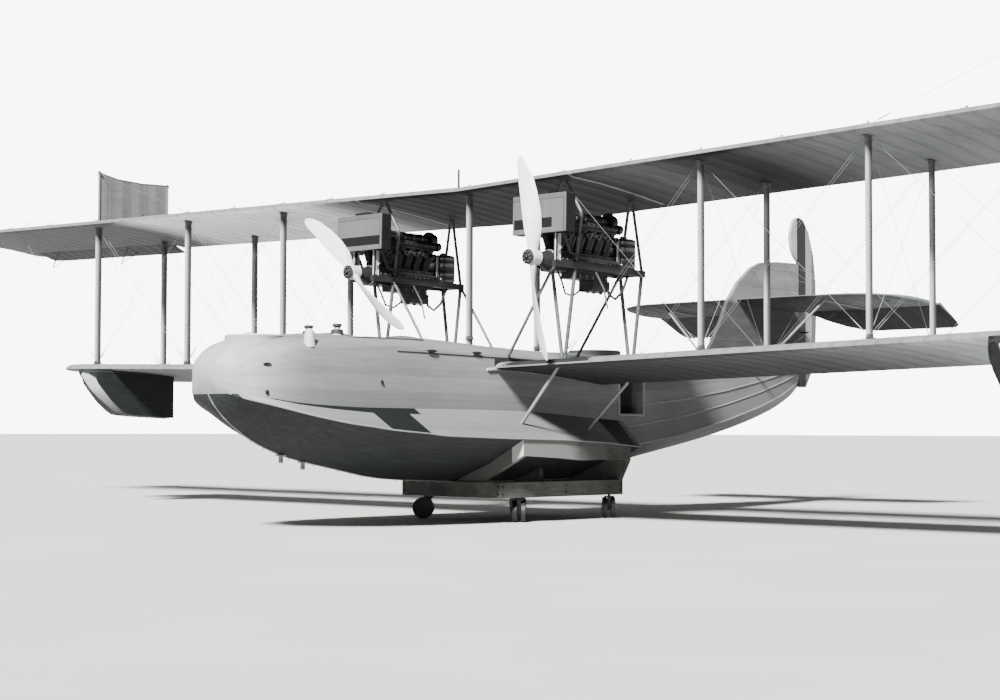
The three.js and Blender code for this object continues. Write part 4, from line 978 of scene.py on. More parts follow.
def wing_spots(node, x, first, last, above, count=15):
    """Spots on a wing's skin along one rib, closer together at its nose."""
    spots = []
    for share in spaced(0, 1, count):
        y = first + (last - first) * share ** 1.6
        found = touch(node, at(x, y, 9 if above else 0), DOWN if above else UP)
        if found and abs(found[1].z) > 0.08:
            spots.append(found)
    return spots


def rib_tapes(shape, node, stations, first, last, width, height=0.003):
    for x in stations:
        for above in (True, False):
            shape.strip(wing_spots(node, x, first, last, above), width, height, PORT)


class FLYINGBOAT_OT_wings(bpy.types.Operator):
    """Dopes the wings, ailerons and top panels and sews tape over their ribs"""

    bl_idname = "flying_boat.wings"
    bl_label = "Wings"

    def execute(self, context):
        sizes = context.scene.flying_boat_wings
        # The under dope is a painted shade, lifted along the span with painted light; the ailerons'
        # is darker still
        linen = doped_linen("doped_linen_on_wing_ribs", sizes.fabric, sizes.rib, sizes.under,
                            patches=PAINTED_UNDER_LIGHT)
        dark_linen = doped_linen("doped_linen_on_ailerons", sizes.fabric, sizes.rib, srgb("303233"))
        panels = {
            "upper_wing_centre": (0.02, CENTRE_HALF - 0.02, (-1, 1)),
            "upper_wing_port": (CENTRE_HALF + 0.03, UPPER_TIP - 0.12, (1,)),
            "upper_wing_starboard": (CENTRE_HALF + 0.03, UPPER_TIP - 0.12, (-1,)),
            "lower_wing_port": (LOWER_ROOT + 0.04, LOWER_TIP - 0.1, (1,)),
            "lower_wing_starboard": (LOWER_ROOT + 0.04, LOWER_TIP - 0.1, (-1,)),
        }
        low_linen = doped_linen("doped_linen_on_lower_ribs", sizes.fabric, sizes.rib, sizes.under,
                                patches=PAINTED_LOWER_LIGHT)
        for node, (first, last, signs) in panels.items():
            cloth = low_linen if node.startswith("lower") else linen
            finish_node(node, cloth, crisp=40)
            tapes = Shape()
            count = int(last / sizes.rib) + 1
            stations = [i * sizes.rib * sign for i in range(count) for sign in signs
                        if first <= i * sizes.rib <= last]
            rib_tapes(tapes, node, stations, WING_NOSE, WING_TAIL, sizes.tape)
            tapes.make(f"{node}_rib_tapes", "boat", "wing_fabric", cloth)
        mast = Shape()
        mast.tube([at(-0.13, -0.12, z) for z in (5.24, 5.592)], 0.0195, 10)
        mast.make("mast_sleeve", "boat", "wing_fabric", finish("dark_paint"))
        for side, sign in SIDES:
            self.aileron(side, sign, dark_linen, sizes)
            self.root_fairing(side, sign)
            self.walkway(side, sign)
            self.spar_fittings(side, sign)
            self.top_panel(side, sign)
        return {"FINISHED"}

    def aileron(self, side, sign, linen, sizes):
        node = f"aileron_{side}"
        finish_node(node, linen, crisp=40)
        tapes = Shape()
        first, last = 10.5, 15.2
        stations = [i * sizes.rib * sign for i in range(50) if first <= i * sizes.rib <= last]
        rib_tapes(tapes, node, stations, 1.72, 2.24, sizes.tape)
        tapes.make(f"{node}_rib_tapes", node, "wing_fabric", linen)

    def walkway(self, side, sign):
        """Tarred canvas to stand on, from the hull out to the engine mount."""
        tread = Shape()
        tread.strip(wing_spots(f"lower_wing_{side}", 1.885 * sign, -0.288, 1.4, True, 26), 2.03,
                    0.004, Vector((1, 0, sign * WING_RISE)))
        tread.make(f"walkway_{side}", "boat", "wing_fabric", finish("tar"))

    def root_fairing(self, side, sign):
        """Aluminium strip round the lower wing's root, and cover strips at the upper joint."""
        strips = Shape()
        for node, x in ((f"lower_wing_{side}", LOWER_ROOT + 0.03),
                        (f"upper_wing_{side}", CENTRE_HALF + 0.04)):
            for above in (True, False):
                spots = wing_spots(node, x * sign, WING_NOSE, WING_TAIL, above, 21)
                strips.strip(spots, 0.075, 0.005, PORT)
        strips.make(f"wing_joint_strips_{side}", "boat", "wing_fabric", finish("mid_paint"))
        nose = Shape()  # the fairing runs on ahead of the wing's nose
        nose.strip(hull_side_spots(sign, [(-0.47, 2.366), (-0.4, 2.372), (-0.2, 2.384)]), 0.045,
                   0.03, UP)
        nose.make(f"wing_nose_fairing_{side}", "boat", "wing_fabric", finish("pale_paint"))

    def spar_fittings(self, side, sign):
        """Strut plates and lifting eyes over the spars of the upper wing."""
        gear = Shape()
        places = [(x, y) for x in (0.0, ENGINE_X, *BAYS) for y in (0, REAR_SPAR)]
        places += [(x, 0) for x in (3.35, 6.05, 8.9, 12.1, 13.6)]
        for x, y in places:
            node = "upper_wing_centre" if x < CENTRE_HALF else f"upper_wing_{side}"
            found = touch(node, at(sign * (x + 0.001), y, 9), DOWN)
            gear.box(found[0] + UP * 0.004, (0.11, 0.16, 0.018), edge=0.004)
            eye = found[0] + UP * 0.022
            gear.tube([eye + (UP * math.sin(a) + AFT * math.cos(a)) * 0.024
                       for a in spaced(-0.6, math.pi + 0.6, 9)], 0.008, 6)
        gear.make(f"upper_spar_fittings_{side}", "boat", "strut_spruce", finish("black_iron"))

    def top_panel(self, side, sign):
        node = f"top_panel_{side}"
        cloth = finish("panel_linen")
        finish_node(node, cloth, crisp=40)
        x = BAYS[2] * sign
        hems = Shape()
        top = [(0.02, 6.515), (0.25, 6.44), (0.49, 6.418), (0.75, 6.405), (1.02, 6.388),
               (1.33, 6.4), (1.62, 6.405)]
        hems.tube([at(x, y, z) for y, z in top], 0.013, 8)
        for y in spaced(0.27, 1.37, 5):  # upright lacing seams
            low = under_wing(UPPER_Z, x, y) + 0.17
            high = next(a[1] + (b[1] - a[1]) * (y - a[0]) / (b[0] - a[0])
                        for a, b in zip(top, top[1:]) if y <= b[0])
            for out in (-1, 1):
                face = PORT * out
                hems.strip([(at(x + out * 0.007, y, z), face) for z in spaced(low, high, 4)],
                           0.03, 0.002, AFT)
        hems.make(f"{node}_hems", "boat", "wing_fabric", cloth)
        caps = Shape()
        for y, z in ((0.0, 6.53), (1.64, 6.41)):
            caps.turned(at(x, y, z - 0.02), UP, ((0, 0.028), (0.03, 0.028), (0.038, 0.018)), 12)
            for d in (-1, 1):
                caps.box(at(x + d * 0.035, y, z - 0.03), (0.03, 0.02, 0.04))
        caps.make(f"{node}_post_caps", "boat", "strut_spruce", finish("black_iron"))


# Struts and wires


class FLYINGBOAT_OT_struts(bpy.types.Operator):
    """Paints the struts and engine mounts and fits their sockets"""

    bl_idname = "flying_boat.struts"
    bl_label = "Struts"

    def execute(self, context):
        # The second colour is the struts' painted shade on their flanks
        spruce = painted_spruce(srgb("8b8c8a"), srgb("3c3e3e"))
        steel = mount_enamel(srgb("3c3e3f"), srgb("131415"))
        sockets = Shape()
        for row, y, deck in (("front", 0, 2.87), ("rear", REAR_SPAR, 2.76)):
            finish_node(f"centre_strut_{row}", spruce, crisp=50)
            self.socket(sockets, 0, y, deck, under_wing(UPPER_Z, 0, y) - 0.002)
            for side, sign in SIDES:
                for bay, x in enumerate(BAYS):
                    finish_node(f"strut_{bay + 1}_{row}_{side}", spruce, crisp=50)
                    foot = under_wing(LOWER_Z, x, y) + SPAR_DEPTH + 0.004
                    self.socket(sockets, x * sign, y, foot, under_wing(UPPER_Z, x, y) - 0.002)
                finish_node(f"fin_brace_{row}_{side}", spruce, crisp=50)
        for side, _ in SIDES:
            finish_node(f"engine_mount_{side}", steel, crisp=50)
        sockets.make("strut_sockets", "boat", "strut_spruce", steel)
        return {"FINISHED"}

    def socket(self, shape, x, y, low, high):
        """Steel cups over both ends of a strut, with wire lugs and through bolts."""
        for z, way in ((low, 1), (high, -1)):
            rings = []
            for rise, grow in ((0, 1.08), (0.04, 1.08), (0.055, 1.02)):
                rings.append(loop(at(x, y, z + way * rise), AFT * STRUT_HALF_CHORD * grow,
                                  PORT * STRUT_HALF_WIDTH * grow, 16))
            shape.loft(rings)
            shape.box(at(x, y, z + way * 0.005), (0.09, 0.18, 0.01), edge=0.003)
            for out in (-1, 1):
                shape.bolt(at(x + out * 0.03, y, z + way * 0.026), PORT * out, 0.007)
                shape.box(at(x + out * 0.045, y, z + way * 0.02), (0.006, 0.04, 0.03), edge=0.001)


class FLYINGBOAT_OT_rigging(bpy.types.Operator):
    """Strings the bracing wires between the wings and round the tail"""

    bl_idname = "flying_boat.rigging"
    bl_label = "Rigging"

    def wire(self, shape, start, end, buckle, radius):
        """A taut wire with a turnbuckle near its lower end."""
        low, high = sorted((Vector(start), Vector(end)), key=lambda p: p.z)
        along = (high - low).normalized()
        shape.tube([low, high], radius, 5)
        a, b = low + along * 0.12, low + along * (0.12 + buckle)
        shape.tube([a, a + along * 0.03, a + along * 0.05, b - along * 0.05, b - along * 0.03, b],
                   [radius * 1.2, radius * 1.4, radius * 2.4, radius * 2.4, radius * 1.4,
                    radius * 1.2], 6)

    def execute(self, context):
        sizes = context.scene.flying_boat_rigging
        radius, buckle = sizes.wire / 2, sizes.buckle
        stations = (ENGINE_X, *BAYS)
        for side, sign in SIDES:
            wires = Shape()
            for y in (0.0, REAR_SPAR):
                def low(x):
                    return at(sign * x, y, under_wing(LOWER_Z, x, y) + SPAR_DEPTH + 0.02)

                def high(x):
                    return at(sign * x, y, under_wing(UPPER_Z, x, y) - 0.01)
                for a, b in zip(stations, stations[1:]):
                    for gap in (-0.035, 0.035):  # the lift wires are doubled
                        aft = AFT * gap
                        self.wire(wires, low(a) + aft, high(b) + aft, buckle, radius)
                    self.wire(wires, high(a), low(b), buckle, radius)
                # Overhang: up from the last lower socket, and down from the king post
                self.wire(wires, low(BAYS[2]), high(OVERHANG_X), buckle, radius)
                top = at(sign * BAYS[2], y, POST_TOPS[y])
                for x in (OVERHANG_X, BAYS[1]):
                    spot = touch(f"upper_wing_{side}", at(sign * x, y, 9), DOWN)[0]
                    self.wire(wires, spot, top, buckle, radius)
            for x in BAYS:  # wires between the front and rear struts
                for y0, y1 in ((0.0, REAR_SPAR), (REAR_SPAR, 0.0)):
                    foot = at(sign * x, y0, under_wing(LOWER_Z, x, y0) + SPAR_DEPTH + 0.03)
                    head = at(sign * x, y1, under_wing(UPPER_Z, x, y1) - 0.02)
                    self.wire(wires, foot, head, buckle, radius)
            # Tail: from the fin's top and the hull to the stabiliser
            for y, head_z in ((7.5, 4.45), (8.6, 4.62)):
                for x in (1.15, 2.3):
                    plane = STAB_Z - STAB_FALL * (y - STAB_Y)
                    self.wire(wires, at(sign * 0.045, y, head_z), at(sign * x, y, plane + 0.05),
                              buckle * 0.7, radius * 0.8)
                    self.wire(wires, at(sign * hull_line(y, 5), y, hull_line(y, 6) - 0.05),
                              at(sign * x, y, plane - 0.05), buckle * 0.7, radius * 0.8)
            wires.make(f"bracing_wires_{side}", "boat", "strut_spruce", finish("wire"))
        return {"FINISHED"}


# Floats


class FLYINGBOAT_OT_floats(bpy.types.Operator):
    """Paints the tip floats and fits their chine strips, keel band and bolts"""

    bl_idname = "flying_boat.floats"
    bl_label = "Tip floats"

    def execute(self, context):
        coat = float_enamel(srgb("17191a"), srgb("a5a6a4"))
        lines = ((-0.79, 0.06, 2.525, 2.47), (-0.725, 0.165, 2.505, 2.375),
                 (-0.612, 0.232, 2.425, 2.23), (-0.56, 0.247, 2.313, 2.18),
                 (-0.435, 0.258, 2.165, 2.065), (-0.257, 0.262, 1.975, 1.935),
                 (-0.054, 0.262, 1.804, 1.785), (0.078, 0.262, 1.725, 1.708),
                 (0.27, 0.262, 1.7, 1.685), (1.2, 0.255, 1.66, 1.645))
        for side, sign in SIDES:
            finish_node(f"tip_float_{side}", coat)
            trim = Shape()
            x = FLOAT_X * sign
            for out in (-1, 1):
                trim.tube([at(x + out * half, y, chine) for y, half, chine, _ in lines], 0.009, 6)
                trim.tube([at(x + out * half, y, 2.53) for y, half, _, _ in lines], 0.01, 6)
                for y in spaced(0.05, 1.15, 12):
                    trim.bolt(at(x + out * 0.262, y, 1.85), PORT * out, 0.005)
            trim.tube([at(x, y, keel) for y, _, _, keel in lines], 0.009, 6)
            for z in spaced(1.8, 2.45, 5):
                trim.bolt(at(x - 0.2 * (z > 0), 1.2, z), AFT, 0.006)
            trim.make(f"tip_float_trim_{side}", "boat", "float_paint", finish("dark_paint"))
        return {"FINISHED"}


# Engines


class FLYINGBOAT_OT_engines(bpy.types.Operator):
    """Fits out the engines, radiators, oil tanks and propellers"""

    bl_idname = "flying_boat.engines"
    bl_label = "Engines"

    def execute(self, context):
        sizes = context.scene.flying_boat_engines
        black = finish("engine_black")
        blades = worn_coat("enamelled_laminated_walnut", sizes.propeller_paint, 0.32, 0.0, 0.07,
                           patch=3.5, fine=28.0, coat=0.25)
        shutters = worn_coat("enamelled_sheet_shutter", sizes.shutter_paint, 0.42, 0.1, 0.12,
                             stretch=(5, 1, 0.7))
        for side, sign in SIDES:
            bay = engine_bay(sign)
            finish_node(f"engine_{side}", black, crisp=40)
            finish_node(f"radiator_{side}", finish("casing"))
            finish_node(f"propeller_{side}", blades, crisp=48)
            self.cylinders(side, bay)
            self.crankcase(side, bay)
            self.plumbing(side, bay)
            self.radiator(side, sign, bay, shutters)
            self.oil_tank(side, bay)
            self.propeller(side, bay)
        return {"FINISHED"}

    def cylinders(self, side, bay):
        block = Shape(bay)
        for lean in (-22.5, 22.5):
            tilt = math.radians(lean)
            up = Vector((math.sin(tilt), 0, math.cos(tilt)))
            out = Vector((math.cos(tilt), 0, -math.sin(tilt))) * (1 if lean > 0 else -1)
            for foot in (AFT * y for y in CYLINDERS):
                block.turned(foot + up * 0.2, up, (
                    (0, 0.092), (0.018, 0.092), (0.03, 0.078), (0.25, 0.08), (0.27, 0.088),
                    (0.285, 0.08), (0.33, 0.07)), 14)
                block.turned(foot + up * 0.45 + out * 0.05, out + up * 0.25,
                             ((0, 0.034), (0.1, 0.034), (0.105, 0.044), (0.12, 0.044),
                              (0.122, 0.03), (0.1, 0.028)), 12)
                for d in (-0.045, 0.045):  # plugs and their leads
                    spot = foot + up * 0.53 + out * 0.055 + AFT * d
                    block.turned(spot, out + up, ((0, 0.012), (0.03, 0.012), (0.05, 0.006)), 8)
                for d in (-0.05, 0.05):  # rocker boxes over the cam cover
                    block.box(foot + up * 0.62 + AFT * d, (0.12, 0.045, 0.05),
                              Matrix.Rotation(tilt, 4, "Y"), 0.012)
            rail = up * 0.605
            block.tube([rail + AFT * y for y in (-0.33, -0.3, 0.96, 0.99)],
                       [0.03, 0.05, 0.05, 0.03], 12)
            block.turned(rail + AFT * 0.95, AFT,
                         ((0, 0.07), (0.05, 0.075), (0.09, 0.07), (0.1, 0.05)), 16)
            leads = [up * 0.56 + out * 0.1 + AFT * y for y in spaced(-0.3, 0.95, 9)]
            block.tube(leads, 0.014, 8)
        # Round end cover behind the drum that lies along the top
        block.turned((0, 0.96, 0.68), AFT, ((0, 0.06), (0.015, 0.14), (0.03, 0.155),
                                                  (0.08, 0.155), (0.1, 0.14), (0.11, 0.06)), 24)
        # Manifold in the vee, with its runners and carburettors
        block.tube([(0, y, 0.5) for y in spaced(-0.2, 0.9, 8)], 0.045, 12)
        for y in CYLINDERS:
            for d in (-1, 1):
                block.tube([(0, y, 0.5), (d * 0.07, y, 0.56), (d * 0.15, y, 0.52)], 0.028, 8)
        for y in (0.1, 0.66):
            block.turned((0, y, 0.42), (0, 0, -1), ((0, 0.05), (0.05, 0.06), (0.12, 0.06),
                                                    (0.15, 0.04), (0.2, 0.04)), 12)
        block.make(f"cylinder_fittings_{side}", "boat", "engine_black", finish("engine_black"))

    def crankcase(self, side, bay):
        case = Shape(bay)
        for d in (-1, 1):
            for y in spaced(-0.28, 0.92, 13):
                case.bolt((d * 0.235, y, -0.002), UP, 0.01)
                case.box((d * 0.19, y, -0.075), (0.05, 0.016, 0.1), edge=0.004)
            case.tube([(d * 0.178, -0.3, 0.02), (d * 0.178, 0.95, 0.02)], 0.016, 8)
        for spot in loop(Vector((0, -0.36, -0.01)), PORT * 0.145, UP * 0.145, 12):
            case.bolt(spot, -AFT, 0.008)
        case.turned((0, -0.33, -0.02), -AFT, ((-0.02, 0.172), (0.02, 0.172), (0.03, 0.16)), 24)
        for y in spaced(0.1, 0.85, 6):
            for d in (-1, 1):
                case.box((d * 0.115, y, -0.215), (0.012, 0.02, 0.07))
        for y in (0.56, 0.71, 0.86):
            case.turned((0, y, -0.418), (0, 0, -1), ((0, 0.03), (0.02, 0.03), (0.03, 0.018)), 8)
        case.make(f"crankcase_fittings_{side}", "boat", "engine_black", finish("cast_metal"))

    def plumbing(self, side, bay):
        pipes = Shape(bay)
        for d in (-1, 1):
            # Water from the heads to the radiator's top, and back low down to the pump
            pipes.tube([(d * 0.2, 0.2, 0.69), (d * 0.2, -0.1, 0.73), (d * 0.2, -0.26, 0.8),
                        (d * 0.18, -0.37, 0.86)], 0.03, 10)
            pipes.tube([(d * 0.3, -0.37, 0.42), (d * 0.31, -0.3, 0.3), (d * 0.3, -0.2, 0.1),
                        (d * 0.29, 0.1, 0.04), (d * 0.28, 0.9, 0.03), (d * 0.2, 1.04, 0.02)],
                       0.026, 10)
        # Exhaust drum along the top, with clips
        for y in spaced(0.0, 1.0, 6):
            pipes.turned((0, y, 0.69), (0, 1, 0), ((-0.012, 0.09), (0.012, 0.09)), 16, 1)
        # Hanging drain and fuel pipes below the bearers
        pipes.tube([(0.12, 0.85, -0.3), (0.14, 0.9, -0.45), (0.2, 0.98, -0.52), (0.24, 1.1, -0.4),
                    (0.22, 1.25, -0.14)], 0.022, 8)
        pipes.tube([(-0.1, 0.5, -0.4), (-0.12, 0.35, -0.5), (-0.05, 0.1, -0.48), (0.05, -0.1, -0.3),
                    (0.05, -0.2, -0.16)], 0.016, 8)
        pipes.tube([(0.26, -0.4, 0.1), (0.27, -0.15, 0.35), (0.26, 0.1, 0.5)], 0.011, 8, 1)
        pipes.tube([(0.3, 0.4, -0.15), (0.34, 0.55, -0.4), (0.36, 0.62, -0.7)], 0.014, 8, 1)
        pipes.make(f"engine_pipes_{side}", "boat", "engine_black", finish("engine_black"),
                   finish("cast_metal"))
        legs = Shape(bay)
        # Pale stay plates beside the radiator's legs, with pressed edges
        for d in (-1, 1):
            legs.box((d * 0.235, -0.4, 0.17), (0.014, 0.12, 0.42), edge=0.003)
            for y in (-0.455, -0.345):
                legs.tube([(d * 0.24, y, -0.03), (d * 0.24, y, 0.375)], 0.011, 8)
            for z in (0.0, 0.34):
                legs.bolt((d * 0.242, -0.4, z), (d, 0, 0), 0.01)
        legs.make(f"radiator_stay_plates_{side}", "boat", "radiator_metal", finish("pale_paint"))

    def radiator(self, side, sign, bay, shutters):
        face, left, right, low, high = -0.562, -0.535, 0.535, 0.372, 0.955
        frame_part = Shape(bay)
        for z in (low + 0.014, high - 0.014):
            frame_part.box((0, face + 0.002, z), (1.07, 0.03, 0.03), edge=0.005)
        for x in (left + 0.014, right - 0.014):
            frame_part.box((x, face + 0.002, (low + high) / 2), (0.03, 0.03, 0.58), edge=0.005)
        for x in (left + 0.05, right - 0.05, 0.0):
            for z in (low + 0.014, high - 0.014):
                frame_part.bolt((x, face - 0.012, z), (0, -1, 0), 0.007)
        frame_part.make(f"radiator_frame_{side}", "boat", "radiator_metal", shutters)
        tank = Shape(bay)  # the top tank's face, with its cap
        tank.box((0, face - 0.008, 0.914), (1.066, 0.02, 0.078), edge=0.008)
        tank.turned((0.1, -0.45, 0.95), UP, ((0, 0.04), (0.03, 0.04), (0.04, 0.02)), 12)
        tank.make(f"radiator_top_tank_{side}", "boat", "radiator_metal", finish("dull_paint"))
        core = Shape(bay)
        core.box((0, face - 0.001, (low + high) / 2), (1.02, 0.02, 0.53), edge=0.002)
        core.box((0, -0.347, (low + high) / 2), (1.02, 0.02, 0.53), edge=0.002)
        core.make(f"radiator_core_{side}", "boat", "radiator_metal", finish("core"))
        panels = Shape(bay)
        # Shutter leaves, with an opening low down that a plate closes at the outboard end
        plates = [(left + 0.035, right - 0.035, 0.6, 0.872, 3),
                  (left + 0.035, right - 0.035, 0.39, 0.446, 1)]
        if sign > 0:
            plates.append((0.27, right - 0.035, 0.448, 0.598, 2))
        for x0, x1, z0, z1, leaves in plates:
            step = (z1 - z0) / leaves
            for i in range(leaves):
                panels.box(((x0 + x1) / 2, face - 0.012, z0 + step * (i + 0.5)),
                           (x1 - x0, 0.006, step + 0.004),
                           Matrix.Rotation(math.radians(2), 4, "X"), 0.002)
        panels.make(f"radiator_shutters_{side}", "boat", "radiator_metal", shutters)

    def oil_tank(self, side, bay):
        """Tall rounded tank with swaged beads, straps, a filler and a gauge glass painted pale, a
        painted highlight down its front.
        """
        tank = Shape(bay)
        half_x, front, back, low, high = 0.243, 1.107, 1.488, -0.028, 0.448
        mid, half_y = (front + back) / 2, (back - front) / 2

        def ring(z, grow):
            return [(math.copysign(abs(math.cos(a)) ** 0.45, math.cos(a)) * (half_x - grow),
                     mid + math.copysign(abs(math.sin(a)) ** 0.6, math.sin(a)) * (half_y - grow), z)
                    for a in (math.tau * k / 36 for k in range(36))]
        profile = ((low, 0.03), (low + 0.012, 0.008), (low + 0.03, 0.006), (low + 0.05, 0.0),
                   (low + 0.07, 0.006), (0.12, 0.006), (0.135, 0.0), (0.15, 0.006), (0.29, 0.006),
                   (0.305, 0.0), (0.32, 0.006), (high - 0.07, 0.006), (high - 0.05, 0.0),
                   (high - 0.03, 0.006), (high - 0.012, 0.012), (high, 0.035))
        tank.loft([ring(z, grow) for z, grow in profile])
        piece = tank.make(f"oil_tank_shell_{side}", "boat", "tank_metal", finish("tank"))
        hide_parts(f"oil_tank_{side}")
        trim = Shape(bay)
        trim.turned((0.08, mid, high - 0.01), UP, ((0, 0.05), (0.03, 0.05), (0.032, 0.06),
                                                   (0.05, 0.06), (0.055, 0.04)), 16)
        for x in (-0.15, 0.15):
            for y in (front - 0.002, back + 0.002):
                trim.box((x, y, (low + high) / 2), (0.035, 0.004, high - low - 0.05), edge=0.001)
        # The gauge glass is painted pale: a painted highlight down the tank's front
        trim.tube([(0.15, front - 0.03, 0.02), (0.15, front - 0.03, 0.4)], 0.014, 8, 1)
        for z in (0.03, 0.39):
            trim.box((0.15, front - 0.015, z), (0.04, 0.04, 0.03), edge=0.004)
        trim.make(f"oil_tank_trim_{side}", "boat", "tank_metal", finish("mid_paint"),
                  finish("pale_paint"))

    def propeller(self, side, bay):
        hub = Shape(bay)
        hub.turned((0, -0.802, 0), (0, -1, 0), ((-0.012, 0.112), (0.006, 0.112), (0.01, 0.106),
                                               (0.012, 0.05), (0.02, 0.046), (0.026, 0.04)), 32)
        hub.turned((0, -0.82, 0), (0, -1, 0), ((0, 0.03), (0.03, 0.03), (0.036, 0.02)), 6)
        for i in range(8):
            a = math.tau * (i + 0.5) / 8
            hub.turned((math.cos(a) * 0.074, -0.81, math.sin(a) * 0.074), (0, -1, 0),
                       ((0, 0.013), (0.016, 0.013), (0.018, 0.009), (0.024, 0.009)), 6, 1)
        hub.make(f"propeller_hub_plate_{side}", f"propeller_{side}", "propeller_paint",
                 finish("black_iron"), finish("dull_paint"))


# Tail


class FLYINGBOAT_OT_tail(bpy.types.Operator):
    """Dopes the fin, rudder, stabiliser and elevators and fits their ribs and stays"""

    bl_idname = "flying_boat.tail"
    bl_label = "Tail"

    def execute(self, context):
        sizes = context.scene.flying_boat_tail
        # Under the stabiliser the dope is a painted shade, darkest near the hull and lifted
        # outboard with painted light
        linen = doped_linen("doped_linen_on_tail_ribs", srgb("5c5e5d"), 0.34, srgb("2c2e2f"),
                            patches=PAINTED_TAIL_LIGHT, turn=0.4)
        upright = doped_linen("doped_linen_on_fin", srgb("5c5e5d"), 0.42, None, "Z", 0.006, 0.1)
        self.paint_stabiliser_shadow(upright)
        finish_node("stabiliser", linen, crisp=40)
        finish_node("fin", upright)
        striped = striped_rudder_enamel(
            (srgb("858787"), sizes.fore_stripe, sizes.mid_stripe, sizes.aft_stripe),
            (8.957, 9.242, 9.445))
        finish_node("rudder", striped)
        # The elevators' dope is painted darker, a painted shade under the stabiliser
        dark_linen = doped_linen("dark_doped_linen", srgb("4c4e4e"), 0.34, srgb("1e2021"))
        for side, sign in SIDES:
            finish_node(f"elevator_{side}", dark_linen, crisp=40)
            finish_node(f"tail_stays_{side}", finish("mid_paint"), crisp=50)
            tapes = Shape()
            rib_tapes(tapes, f"elevator_{side}", [sign * (0.5 + 0.34 * i) for i in range(9)], 8.85,
                      9.6, 0.03)
            tapes.make(f"elevator_rib_tapes_{side}", f"elevator_{side}", "wing_fabric",
                       dark_linen)
        tapes = Shape()
        rib_tapes(tapes, "stabiliser", [0.34 * i for i in range(-9, 10) if i], 7.0, 8.78, 0.03)
        tapes.make("stabiliser_rib_tapes", "boat", "wing_fabric", linen)
        eyes = Shape()  # inspection holes near the stabiliser's tips
        for sign in (1, -1):
            spot, normal = touch("stabiliser", at(sign * 2.8, 7.8, 1), UP)
            eyes.turned(spot - normal * 0.004, normal, ((0, 0.05), (0.008, 0.05)), 20)
        eyes.make("stabiliser_holes", "boat", "wing_fabric", finish("tar"))
        self.fin_tapes(upright, striped)
        return {"FINISHED"}

    def paint_stabiliser_shadow(self, coat):
        """Paints the stabiliser's shadow on the fin: the dope is darker below the stabiliser."""
        tree = coat.node_tree
        surface = next(n for n in tree.nodes if n.type == "BSDF_PRINCIPLED")
        place = add(tree, "TexCoord").outputs["Object"]
        clouds = add(tree, "TexNoise", {"Vector": place, "Scale": 2.5, "Detail": 5.0})
        height = add(tree, "SeparateXYZ", (place,)).outputs["Z"]
        level = add(tree, "Math MULTIPLY_ADD", (clouds, 0.3, height))
        low = add(tree, "MapRange", (level, 3.92, 4.02, 0.3, 1.0))
        clean = surface.inputs["Base Color"].links[0].from_socket
        link(tree, surface, {"Base Color": add(tree, "VectorMath SCALE", {0: clean, 3: low})})

    def fin_tapes(self, upright, striped):
        for node, body, coat, rows in (("fin", "boat", upright, spaced(3.1, 4.5, 5)),
                                       ("rudder", "rudder", striped, spaced(2.7, 5.3, 8))):
            tapes = Shape()
            for z in rows:
                for out in (-1, 1):
                    spots = []
                    for y in spaced(6.1, 9.62, 60):
                        found = touch(node, at(out, y, z), PORT * -out)
                        if found and abs(found[0].x) > 0.02 and abs(found[1].x) > 0.9:
                            spots.append(found)
                    tapes.strip(spots, 0.03, 0.002, UP)
            tapes.make(f"{node}_rib_tapes", body, "wing_fabric", coat)


# Truck


class FLYINGBOAT_OT_truck(bpy.types.Operator):
    """Finishes the truck's timber and its casters, and fits bolts"""

    bl_idname = "flying_boat.truck"
    bl_label = "Handling truck"

    def execute(self, context):
        timber = creosoted_timber(context.scene.flying_boat_truck.timber, srgb("9a9b98"),
                                  srgb("474846"))
        finish_node("truck_frame", timber)
        iron = Shape()
        for sign in (1, -1):
            for y in (-0.37, 1.08, 2.42):
                for z in (0.45, 0.56):
                    iron.bolt(at(sign * 1.1, y, z), PORT * sign, 0.011)
            for z in (0.45, 0.56):
                iron.bolt(at(sign * 1.05, -0.42, z), -AFT, 0.011)
                iron.bolt(at(sign * 1.05, 2.47, z), AFT, 0.011)
        iron.make("truck_bolts", "boat", "truck_timber", finish("black_iron"))
        for place in ("front_port", "front_starboard", "rear_port", "rear_starboard"):
            finish_node(f"caster_fork_{place}", finish("black_iron"))
            finish_node(f"caster_wheel_{place}", finish("black_iron"))
        return {"FINISHED"}


# Stage


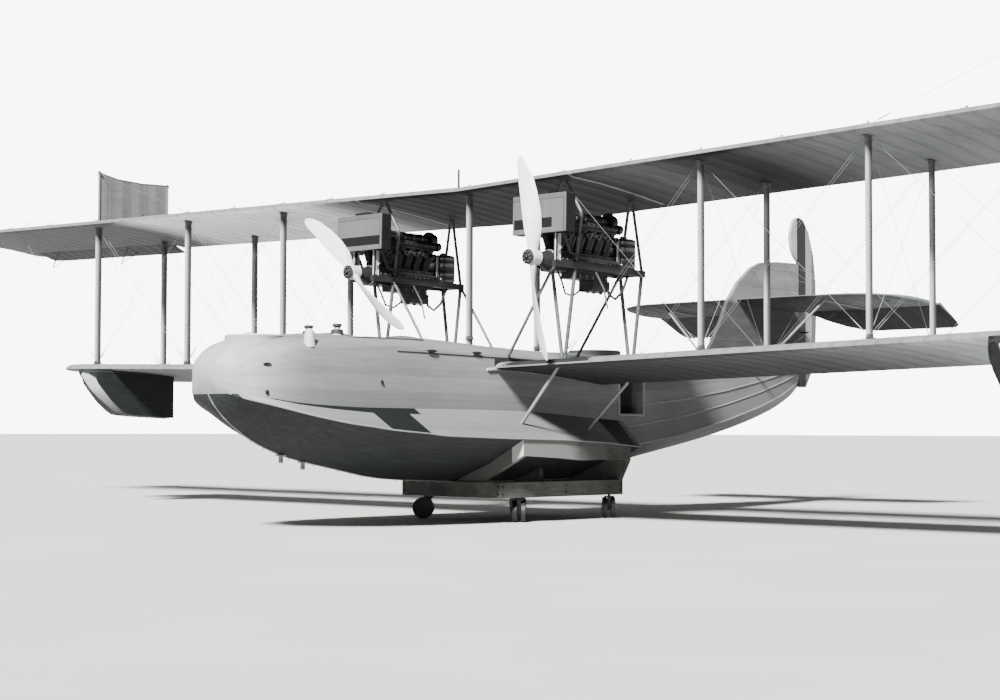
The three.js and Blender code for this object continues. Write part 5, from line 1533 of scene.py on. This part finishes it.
class FLYINGBOAT_OT_stage(bpy.types.Operator):
    """Lays the floor and sets the lights and the camera"""

    bl_idname = "flying_boat.stage"
    bl_label = "Stage"

    def execute(self, context):
        scene = context.scene
        sizes = scene.flying_boat_stage
        mesh = bpy.data.meshes.new("floor")
        reach = 400  # far enough for its edge to lie at the horizon
        mesh.from_pydata([(-reach, -reach, 0), (reach, -reach, 0), (reach, reach, 0),
                          (-reach, reach, 0)], [], [(0, 1, 2, 3)])
        mesh.materials.append(trowelled_concrete(sizes.floor))
        floor = bpy.data.objects.new("floor", mesh)
        scene.collection.objects.link(floor)
        world = bpy.data.worlds.new("studio")
        world.use_nodes = True
        tree = world.node_tree
        tree.nodes.clear()
        fill, seen = (add(tree, "Background", {"Color": (1, 1, 1, 1), "Strength": strength})
                      for strength in (sizes.fill, sizes.backdrop))
        direct = add(tree, "LightPath").outputs["Is Camera Ray"]
        both = add(tree, "MixShader", (direct, fill, seen))
        add(tree, "OutputWorld", {"Surface": both})
        scene.world = world
        key = bpy.data.objects.new("key_light", bpy.data.lights.new("key_light", "SUN"))
        key.data.energy = sizes.key
        key.data.angle = math.radians(9)
        key.rotation_euler = KEY_FROM.to_track_quat("Z", "Y").to_euler()
        scene.collection.objects.link(key)
        self.camera(scene)
        return {"FINISHED"}

    def camera(self, scene):
        """Stands the camera where the photograph was taken from."""
        yaw, pitch, roll = CAMERA_TURN
        ahead = Vector((-math.sin(yaw) * math.cos(pitch), math.cos(yaw) * math.cos(pitch),
                        math.sin(pitch)))
        right = Vector((math.cos(yaw), math.sin(yaw), 0))
        up = right.cross(ahead)
        across = right * math.cos(roll) + up * math.sin(roll)
        upward = up * math.cos(roll) - right * math.sin(roll)
        camera = bpy.data.objects.new("camera", bpy.data.cameras.new("camera"))
        scene.collection.objects.link(camera)
        turn = Matrix((across, upward, -ahead)).transposed().to_4x4()
        camera.matrix_world = Matrix.Translation(CAMERA_PLACE) @ turn
        camera.data.sensor_width = 36
        camera.data.lens = camera.data.sensor_width * CAMERA_LENS
        camera.data.clip_end = 900
        scene.camera = camera


# Add-on


class FLYINGBOAT_PT_panel(bpy.types.Panel):
    """Lists the settings and the steps in order"""

    bl_idname = "FLYINGBOAT_PT_panel"
    bl_label = "Flying Boat"
    bl_space_type = "VIEW_3D"
    bl_region_type = "UI"
    bl_category = "Flying Boat"

    def draw(self, context):
        for name, group in GROUPS.items():
            box = self.layout.box()
            for setting in group.__annotations__:
                box.prop(getattr(context.scene, name), setting)
        for step in STEPS:
            self.layout.operator(step.bl_idname)


STEPS = (FLYINGBOAT_OT_hull, FLYINGBOAT_OT_cockpits, FLYINGBOAT_OT_wings, FLYINGBOAT_OT_struts,
         FLYINGBOAT_OT_rigging, FLYINGBOAT_OT_floats, FLYINGBOAT_OT_engines, FLYINGBOAT_OT_tail,
         FLYINGBOAT_OT_truck, FLYINGBOAT_OT_stage)


def register():
    for name, group in GROUPS.items():
        bpy.utils.register_class(group)
        setattr(bpy.types.Scene, name, PointerProperty(type=group))
    for step in (*STEPS, FLYINGBOAT_PT_panel):
        bpy.utils.register_class(step)


def unregister():
    for step in (FLYINGBOAT_PT_panel, *reversed(STEPS)):
        bpy.utils.unregister_class(step)
    for name, group in GROUPS.items():
        delattr(bpy.types.Scene, name)
        bpy.utils.unregister_class(group)


def main():
    register()
    for step in STEPS:
        area, name = step.bl_idname.split(".")
        getattr(getattr(bpy.ops, area), name)()


if __name__ == "__main__":
    main()
